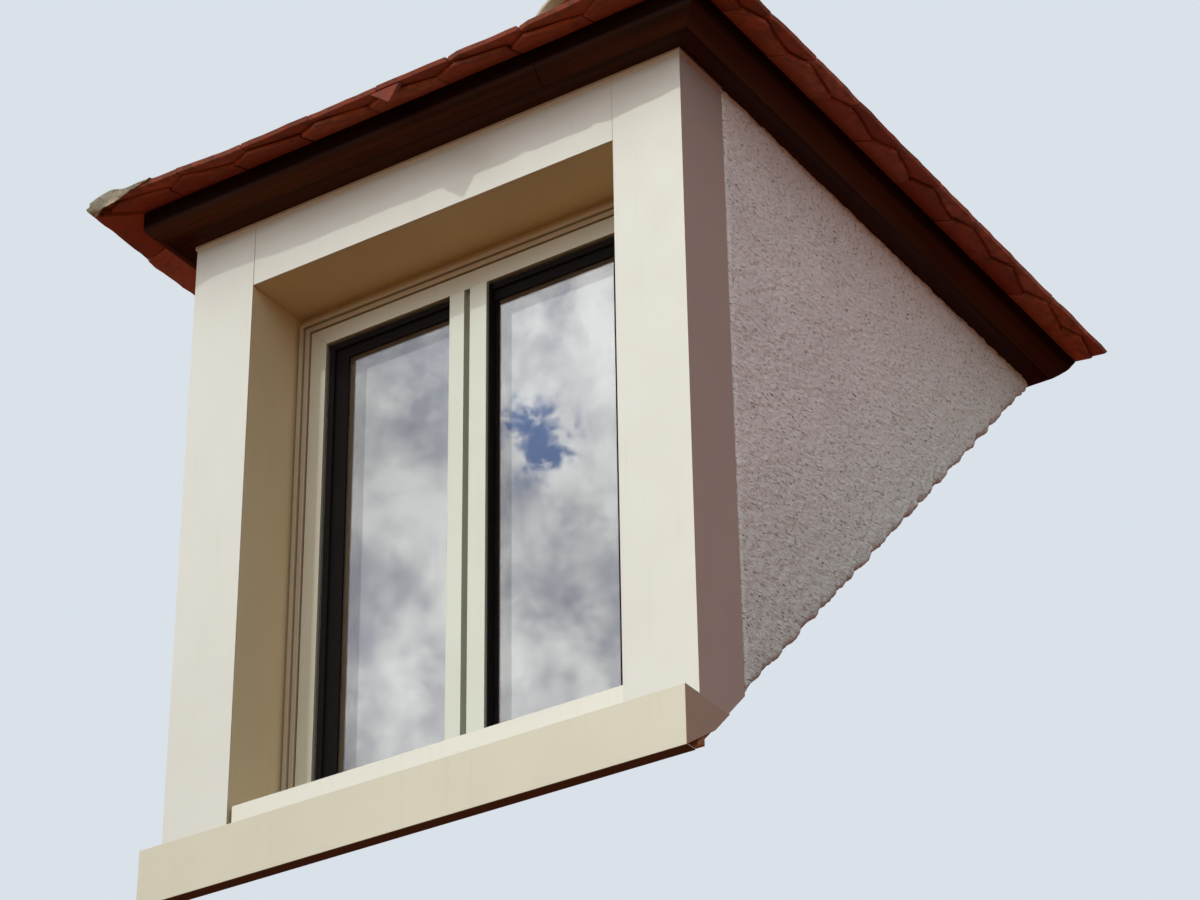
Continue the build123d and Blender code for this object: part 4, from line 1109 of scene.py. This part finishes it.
# ---------------------------------------------------------------- roughcast cheeks
def cheek(name, node, side, seed):
    step = 0.0034
    y0, z1 = 0.131, 1.4148
    ys = np.arange(y0, z1 - 0.004, step)
    zs = np.arange(y0, z1 + step, step)
    zs[-1] = z1
    Y, Z = np.meshgrid(ys, zs, indexing="ij")
    along = np.stack([Y[:, 0], 0 * Y[:, 0], 0 * Y[:, 0]], 1)
    slope = Y[:, 0] * ROOT2
    tooth = (slope / GAUGE + 0.3) % 1.0
    off = 0.0020 + 0.0105 * (1 - tooth) ** 1.2 + 0.0038 * value_noise(along, 0.016, seed) \
        + 0.0022 * value_noise(along, 0.007, seed + 1)
    off = np.clip(off, 0.0008, 0.03)
    low = (Y[:, 0] + off)[:, None]
    below = Z < low
    Zs = np.where(below, low, Z)
    rag_front = 0.0012 + 0.0016 * (value_noise(np.stack([Z[0], 0 * Z[0], 0 * Z[0]], 1), 0.02, seed + 2) + 1) \
        + 0.0009 * (value_noise(np.stack([Z[0], 0 * Z[0], 0 * Z[0]], 1), 0.007, seed + 3) + 1)
    Ys = Y.copy()
    Ys[0] += rag_front
    Ys[1] += rag_front * 0.5
    p = np.stack([np.zeros(Y.size), Ys.ravel(), Zs.ravel()], 1)
    lumps = octaves(p, 0.022, seed + 4, 3, 0.6)
    fine = value_noise(p, (0.01, 0.0125, 0.0052), seed + 6)
    pit, own = cells(p[:, [0, 1, 2]], 0.0125, seed + 7, (1, 1.9, 0.80))
    pits = np.clip(0.34 - pit, 0, 1) / 0.34 * (own > 0.55)
    big, own2 = cells(p, 0.032, seed + 8)
    pits2 = np.clip(0.16 - big, 0, 1) / 0.16 * (own2 > 0.62)
    x = 0.5757 + 0.0009 * lumps + 0.0013 * fine - 0.0030 * pits - 0.0042 * pits2
    # edges roll over towards the pilaster and the tiles
    front_roll = np.clip(1 - (Ys.ravel() - y0 - 0.002) / 0.012, 0, 1) ** 2
    low_full = np.repeat(low, Z.shape[1], 1).ravel()
    foot = np.clip(1 - (Zs.ravel() - low_full) / 0.016, 0, 1) ** 2
    thick = np.clip(1 - (Zs.ravel() - low_full) / 0.055, 0, 1)
    x = x - 0.0045 * front_roll - 0.0060 * foot + 0.0022 * thick * (1 - foot) \
        + 0.0016 * thick * octaves(p, 0.013, seed + 10, 2, 0.6)
    V = np.stack([side * x, Ys.ravel(), Zs.ravel()], 1)
    r, c = Y.shape
    i, j = np.meshgrid(np.arange(r - 1), np.arange(c - 1), indexing="ij")
    a = (i * c + j).ravel()
    q = np.stack([a, a + c, a + c + 1, a + 1], 1)
    hidden = below.ravel()
    keep = ~(hidden[q].all(1))
    q = q[keep]
    used = np.unique(q)
    remap = np.full(len(V), -1)
    remap[used] = np.arange(len(used))
    V, q = V[used], remap[q]
    edge = np.maximum(foot, thick * 0.9)[used]
    bm = bmesh.new()
    lay = bm.verts.layers.float.new("edge")
    vs = [bm.verts.new(v) for v in V]
    for v, e in zip(vs, edge):
        v[lay] = float(e)
    for f in q:
        try:
            bm.faces.new([vs[k] for k in f])
        except ValueError:
            pass
    bmesh.ops.remove_doubles(bm, verts=bm.verts, dist=1e-5)
    rim = [e for e in bm.edges if e.is_boundary]
    made = bmesh.ops.extrude_edge_only(bm, edges=rim)
    back = [g for g in made["geom"] if isinstance(g, bmesh.types.BMVert)]
    for v in back:
        v.co.x = side * 0.5572
    rim = [e for e in bm.edges if e.is_boundary]
    bmesh.ops.holes_fill(bm, edges=rim, sides=0)
    me = from_bmesh(name, bm, RENDER, True, 70)
    return piece(name, me, "roughcast", node)


cheek("right_roughcast", "right_cheek_render", 1, 81)
cheek("left_roughcast", "left_cheek_render", -1, 91)


# the raised sill closes against the right reveal and leaves a slot at the left one
bm = bmesh.new()
profile = [(-0.0150, 0.0700), (-0.0120, 0.0700), (-0.0120, 0.1325), (0.1320, 0.1475), (0.1320, 0.1510), (-0.0150, 0.1360)]
ends = [[bm.verts.new((x, y, z)) for y, z in profile] for x in (-0.4170, 0.4246)]
bm.faces.new(ends[0])
bm.faces.new(ends[1][::-1])
for i in range(len(profile)):
    j = (i + 1) % len(profile)
    bm.faces.new((ends[0][i], ends[1][i], ends[1][j], ends[0][j]))
bmesh.ops.recalc_face_normals(bm, faces=bm.faces)
bmesh.ops.bevel(bm, geom=list(bm.edges), offset=0.0010, segments=3, affect="EDGES")
piece("raised_sill", from_bmesh("raised_sill", bm, CREAM_SILL, False), "cream_cladding", "window_sill")

# rounded hems along the upper edges of the apron's side sheets
bm = bmesh.new()
for side in (-1, 1):
    rings = []
    for y in (-0.0712, -0.02, 0.03, 0.0690):
        rings.append([bm.verts.new((side * 0.5790 + 0.0010 * math.cos(t), y, 0.0703 + 0.0013 * math.sin(t)))
                      for t in (k * math.pi / 4 for k in range(8))])
    for r0, r1 in zip(rings, rings[1:]):
        for i in range(8):
            bm.faces.new((r0[i], r0[(i + 1) % 8], r1[(i + 1) % 8], r1[i]))
    bm.faces.new(rings[0])
    bm.faces.new(rings[-1][::-1])
piece("apron_hems", from_bmesh("apron_hems", bm, CREAM_SILL), "cream_cladding")


# ---------------------------------------------------------------- double glazing
def box_into(bm, lo, hi, soft=0.0):
    made = bmesh.ops.create_cube(bm, size=1.0)
    vs = made["verts"]
    lo, hi = Vector(lo), Vector(hi)
    for v in vs:
        v.co = Vector(((lo[k] + hi[k]) / 2 + v.co[k] * (hi[k] - lo[k]) for k in range(3)))
    if soft:
        es = list({e for v in vs for e in v.link_edges})
        bmesh.ops.bevel(bm, geom=es, offset=soft, segments=2, affect="EDGES")


for side, label in ((1, "right"), (-1, "left")):
    lo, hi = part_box(label + "_glass")
    bm = bmesh.new()
    box_into(bm, (lo.x, lo.y, lo.z), (hi.x, lo.y + 0.004, hi.z), 0.0006)
    piece(label + "_outer_pane", from_bmesh(label + "_outer_pane", bm, PANE_OUT, False), "window_glass", label + "_glass")
    bm = bmesh.new()
    box_into(bm, (lo.x, hi.y - 0.004, lo.z), (hi.x, hi.y, hi.z), 0.0006)
    piece(label + "_inner_pane", from_bmesh(label + "_inner_pane", bm, PANE_IN_PAINTED_SHADE, False), "window_glass")
    # spacer with its black edge seal, from the edge of the unit to where the view between the panes begins
    bm = bmesh.new()
    ya, yb = lo.y + 0.0042, hi.y - 0.0042
    xs = sorted((side * (0.3115 if side > 0 else 0.291), side * 0.058))
    x0, x1, z1 = lo.x + 0.001, hi.x - 0.001, 1.126
    z0 = lo.z + hi.z - z1
    box_into(bm, (x0, ya, lo.z + 0.001), (x1, yb, z0), 0.0006)
    box_into(bm, (x0, ya, z1), (x1, yb, hi.z - 0.001), 0.0006)
    box_into(bm, (x0, ya, z0 + 0.0002), (xs[0], yb, z1 - 0.0002), 0.0006)
    box_into(bm, (xs[1], ya, z0 + 0.0002), (x1, yb, z1 - 0.0002), 0.0006)
    piece(label + "_spacer_bar", from_bmesh(label + "_spacer_bar", bm, SPACER, False), "black_gasket")


# ================================================================ finishes of the carried-over pieces
def dress(node, mat, soft=0.0012, segments=2, limit=40.0):
    o = nodes[node] if isinstance(node, str) else node
    me = o.data
    if "custom_normal" in me.attributes:
        me.attributes.remove(me.attributes["custom_normal"])
    me.polygons.foreach_set("use_smooth", np.zeros(len(me.polygons), bool))
    if not o.material_slots:
        me.materials.append(mat)
    for s in o.material_slots:
        s.material = mat
    if soft:
        w = o.modifiers.new("weld", "WELD")
        w.merge_threshold = 0.00002
        b = o.modifiers.new("edges", "BEVEL")
        b.width = soft
        b.segments = segments
        b.limit_method = "ANGLE"
        b.angle_limit = math.radians(limit)
        b.use_clamp_overlap = True
        b.loop_slide = True


for n in ("right_pilaster_cladding", "left_pilaster_cladding", "lintel_cladding"):
    dress(n, CREAM, 0.0011, 3)
dress("sill_apron", CREAM_APRON, 0.0011, 3)
dress("cap_strip", CREAM_CAP, 0.0006)
dress("reveal_linings", REVEAL_PAINTED_WARM_BOUNCE, 0.0004)
dress("window_sill", CREAM_SILL, 0.0011, 3)
dress("window_trim", TRIM_PAINTED_SHADE, 0.0009)
for n in ("window_frame", "right_sash", "left_sash"):
    dress(n, CREAM_WINDOW, 0.0010)
# the border on the right pane is narrower on its hinge side
me = nodes["glazing_gaskets"].data.copy()
me.name = "pane_borders"
for v in me.vertices:
    if abs(v.co.x - 0.308) < 0.0003:
        v.co.x = 0.3152
dress(piece("pane_borders", me, "black_gasket", "glazing_gaskets"), GASKET, 0.0012)
dress("window_handle", HANDLE, 0.0010, 2, 50)
for n in ("front_posts", "cheek_studs", "window_subframe"):
    dress(n, WOOD_Z, 0.0015)
for n in ("head_beam", "sill_beam", "front_sole_plate"):
    dress(n, WOOD_X, 0.0015)
dress("side_sole_plates", WOOD_SOLE, 0.0015)
dress("cheek_boards", STRAND, 0.0006)
dress("front_wall_plate", STAIN_X, 0.0020)
for n in ("right_wall_plate", "left_wall_plate"):
    dress(n, STAIN_Y, 0.0020)
dress("cornice_moulding", STAIN_CORNICE, 0.0010, 2, 50)
dress("ridge_board", WOOD_Y, 0.0015)
dress("hip_rafters", WOOD_HIP, 0.0015)
dress("right_rafters", WOOD_RIGHT, 0.0015)
dress("left_rafters", WOOD_LEFT, 0.0015)
dress("front_rafters", WOOD_SOLE, 0.0015)
dress("valley_boards", WOOD_SOLE, 0.0012)

# ================================================================ light, floor and background
sun_data = bpy.data.lights.new("key", "SUN")
sun_data.energy = 0.30
sun_data.angle = math.radians(0.9)
sun_data.color = (1.0, 0.985, 0.95)
sun = bpy.data.objects.new("key", sun_data)
scene.collection.objects.link(sun)
az, el = math.radians(21.9), math.radians(42.42)
to_sun = Vector((-math.sin(az) * math.cos(el), -math.cos(az) * math.cos(el), math.sin(el)))
sun.rotation_mode = "QUATERNION"
sun.rotation_quaternion = to_sun.to_track_quat("Z", "Y")


bm = bmesh.new()
bmesh.ops.create_grid(bm, x_segments=24, y_segments=24, size=90.0)
me = bpy.data.meshes.new("floor")
bm.to_mesh(me)
bm.free()
f = Finish("floor", (0.74, 0.70, 0.65), 0.9)
f.color(f.mix(f.span(f.noise(f.coord, 0.6, 3), 0.3, 0.7), (0.72, 0.68, 0.63), (0.76, 0.72, 0.67)))
me.materials.append(f.mat)
floor = bpy.data.objects.new("floor", me)
floor.location = (0, 0, -14.0)
floor.visible_diffuse = False
floor.visible_glossy = False
scene.collection.objects.link(floor)
floor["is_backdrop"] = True

GAP_DIRECTION = (-0.4815, -0.7065, 0.5185)
R_TOP = (-0.4695, -0.6975, 0.5415)
L_TOP = (-0.5370, -0.6660, 0.5170)
L_LOW = (-0.5200, -0.7200, 0.4450)
SHINE = 0.95
world = bpy.data.worlds.new("studio")
scene.world = world
world.use_nodes = True
wt = world.node_tree
wt.nodes.clear()
out = wt.nodes.new("ShaderNodeOutputWorld")
ray = wt.nodes.new("ShaderNodeLightPath")


def background(color, strength):
    n = wt.nodes.new("ShaderNodeBackground")
    if isinstance(color, tuple):
        n.inputs[0].default_value = (*color, 1)
    else:
        wt.links.new(color, n.inputs[0])
    n.inputs[1].default_value = strength
    return n.outputs[0]


def blend_shader(fac, a, b):
    n = wt.nodes.new("ShaderNodeMixShader")
    wt.links.new(fac, n.inputs[0])
    wt.links.new(a, n.inputs[1])
    wt.links.new(b, n.inputs[2])
    return n.outputs[0]


def wmath(kind, a, b=0.0, clamp=False):
    n = wt.nodes.new("ShaderNodeMath")
    n.operation = kind
    n.use_clamp = clamp
    for k, v in enumerate((a, b)):
        if isinstance(v, bpy.types.NodeSocket):
            wt.links.new(v, n.inputs[k])
        else:
            n.inputs[k].default_value = v
    return n.outputs[0]


def wspan(value, a, b, lo=0.0, hi=1.0):
    n = wt.nodes.new("ShaderNodeMapRange")
    n.interpolation_type = "SMOOTHSTEP"
    wt.links.new(value, n.inputs["Value"])
    for k, v in zip(("From Min", "From Max", "To Min", "To Max"), (a, b, lo, hi)):
        n.inputs[k].default_value = v
    return n.outputs["Result"]


def wmix(fac, a, b):
    n = wt.nodes.new("ShaderNodeMix")
    n.data_type = "RGBA"
    for socket, v in ((n.inputs[0], fac), (n.inputs[6], a), (n.inputs[7], b)):
        if isinstance(v, bpy.types.NodeSocket):
            wt.links.new(v, socket)
        else:
            socket.default_value = (*v, 1) if isinstance(v, tuple) else v
    return n.outputs[2]


def wnoise(vector, scale, detail, rough, distortion=0.0):
    n = wt.nodes.new("ShaderNodeTexNoise")
    wt.links.new(vector, n.inputs["Vector"])
    for k, v in zip(("Scale", "Detail", "Roughness", "Distortion"), (scale, detail, rough, distortion)):
        n.inputs[k].default_value = v
    return n.outputs["Fac"]


def wramp(fac, *stops):
    n = wt.nodes.new("ShaderNodeValToRGB")
    while len(n.color_ramp.elements) < len(stops):
        n.color_ramp.elements.new(0.5)
    for e, (at, c) in zip(n.color_ramp.elements, stops):
        e.position = at
        e.color = (*c, 1)
    wt.links.new(fac, n.inputs["Fac"])
    return n.outputs["Color"]


# the room of light around the part: a bright sky, warm ground in front, and the red of the roof it stands on
where = wt.nodes.new("ShaderNodeTexCoord").outputs["Generated"]
split = wt.nodes.new("ShaderNodeSeparateXYZ")
wt.links.new(where, split.inputs[0])
wx, wy, wz = split.outputs[0], split.outputs[1], split.outputs[2]
roof_line = wmath("ADD", wmath("MULTIPLY", wmath("MAXIMUM", wy, 0.0), 1.18), wmath("MULTIPLY", wmath("MINIMUM", wy, 0.0), 0.95))
above_roof = wspan(wmath("SUBTRACT", wz, roof_line), -0.04, 0.06)
behind = wspan(wy, -0.30, 0.35)
blue_sky = (0.100, 0.105, 0.125)
above_ground = wspan(wz, -0.03, 0.07)
roof_red = wmix(wspan(wy, -0.45, 0.05), (0.330, 0.160, 0.072), (0.285, 0.090, 0.052))
roof_red = wmix(wspan(wx, 0.10, 0.55), roof_red, (0.150, 0.048, 0.030))
roof_shade = wmix(wspan(wy, -0.45, 0.05), (0.330, 0.160, 0.072), (0.150, 0.035, 0.018))
low_part = (0.500, 0.250, 0.110)
soft_sky = wmix(above_roof, roof_red, wmix(above_ground, low_part, wmix(behind, (1.14, 1.20, 1.22), (0.47, 0.51, 0.71))))

# clouds, for what the panes and the lacquer reflect
big = wnoise(where, 15.0, 2.0, 0.5, 0.1)
puff = wnoise(where, 40.0, 9.0, 0.60, 0.15)
body = wmath("ADD", wmath("MULTIPLY", big, 0.45), wmath("MULTIPLY", puff, 0.62))
cloud = wramp(body, (0.38, (0.50, 0.52, 0.62)), (0.46, (0.74, 0.75, 0.82)), (0.53, (1.05, 1.05, 1.07)), (0.60, (1.35, 1.35, 1.34)))
gap_dir = Vector(GAP_DIRECTION).normalized()
apart = wt.nodes.new("ShaderNodeVectorMath")
apart.operation = "DISTANCE"
wt.links.new(where, apart.inputs[0])
apart.inputs[1].default_value = gap_dir
torn = wmath("ADD", apart.outputs["Value"], wmath("MULTIPLY", wmath("SUBTRACT", wnoise(where, 95.0, 7.0, 0.66, 0.5), 0.5), 0.046))
torn = wmath("ADD", torn, wmath("MULTIPLY", wmath("SUBTRACT", wnoise(where, 330.0, 4.0, 0.6), 0.5), 0.012))
blue = wspan(torn, 0.002, 0.015, 1.0, 0.0)
cloud = wmix(blue, cloud, (0.24, 0.33, 0.60))


def glow(direction, reach, gain, inner=0.35):
    """The clouds are lighter or darker around a direction."""
    n = wt.nodes.new("ShaderNodeVectorMath")
    n.operation = "DISTANCE"
    wt.links.new(where, n.inputs[0])
    n.inputs[1].default_value = Vector(direction).normalized()
    return wspan(n.outputs["Value"], reach * inner, reach, gain, 1.0)


bright = wmath("MULTIPLY", glow(GAP_DIRECTION, 0.15, 2.35, 0.60), glow(R_TOP, 0.045, 1.22))
bright = wmath("MULTIPLY", bright, glow(L_TOP, 0.045, 0.80))
bright = wmath("MULTIPLY", bright, glow(L_LOW, 0.050, 1.12))
lift = wt.nodes.new("ShaderNodeVectorMath")
lift.operation = "SCALE"
wt.links.new(cloud, lift.inputs[0])
wt.links.new(bright, lift.inputs["Scale"])
cloud = lift.outputs[0]
sharp_sky = wmix(above_roof, roof_shade, wmix(above_ground, low_part, wmix(behind, cloud, blue_sky)))
blush = wt.nodes.new("ShaderNodeVectorMath")
blush.operation = "MULTIPLY"
wt.links.new(sharp_sky, blush.inputs[0])
wt.links.new(wmix(wspan(wx, 0.0, 0.30), (1.0, 1.0, 1.0), (0.98, 0.44, 0.34)), blush.inputs[1])
sharp_sky = blush.outputs[0]
fill = background(soft_sky, 1.0)
shine = background(sharp_sky, SHINE)
seen = background((0.70, 0.755, 0.815), 1.0)
mixed = blend_shader(ray.outputs["Is Glossy Ray"], fill, shine)
mixed = blend_shader(ray.outputs["Is Camera Ray"], mixed, seen)
wt.links.new(mixed, out.inputs["Surface"])

scene.view_settings.view_transform = "Standard"

lo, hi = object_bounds()
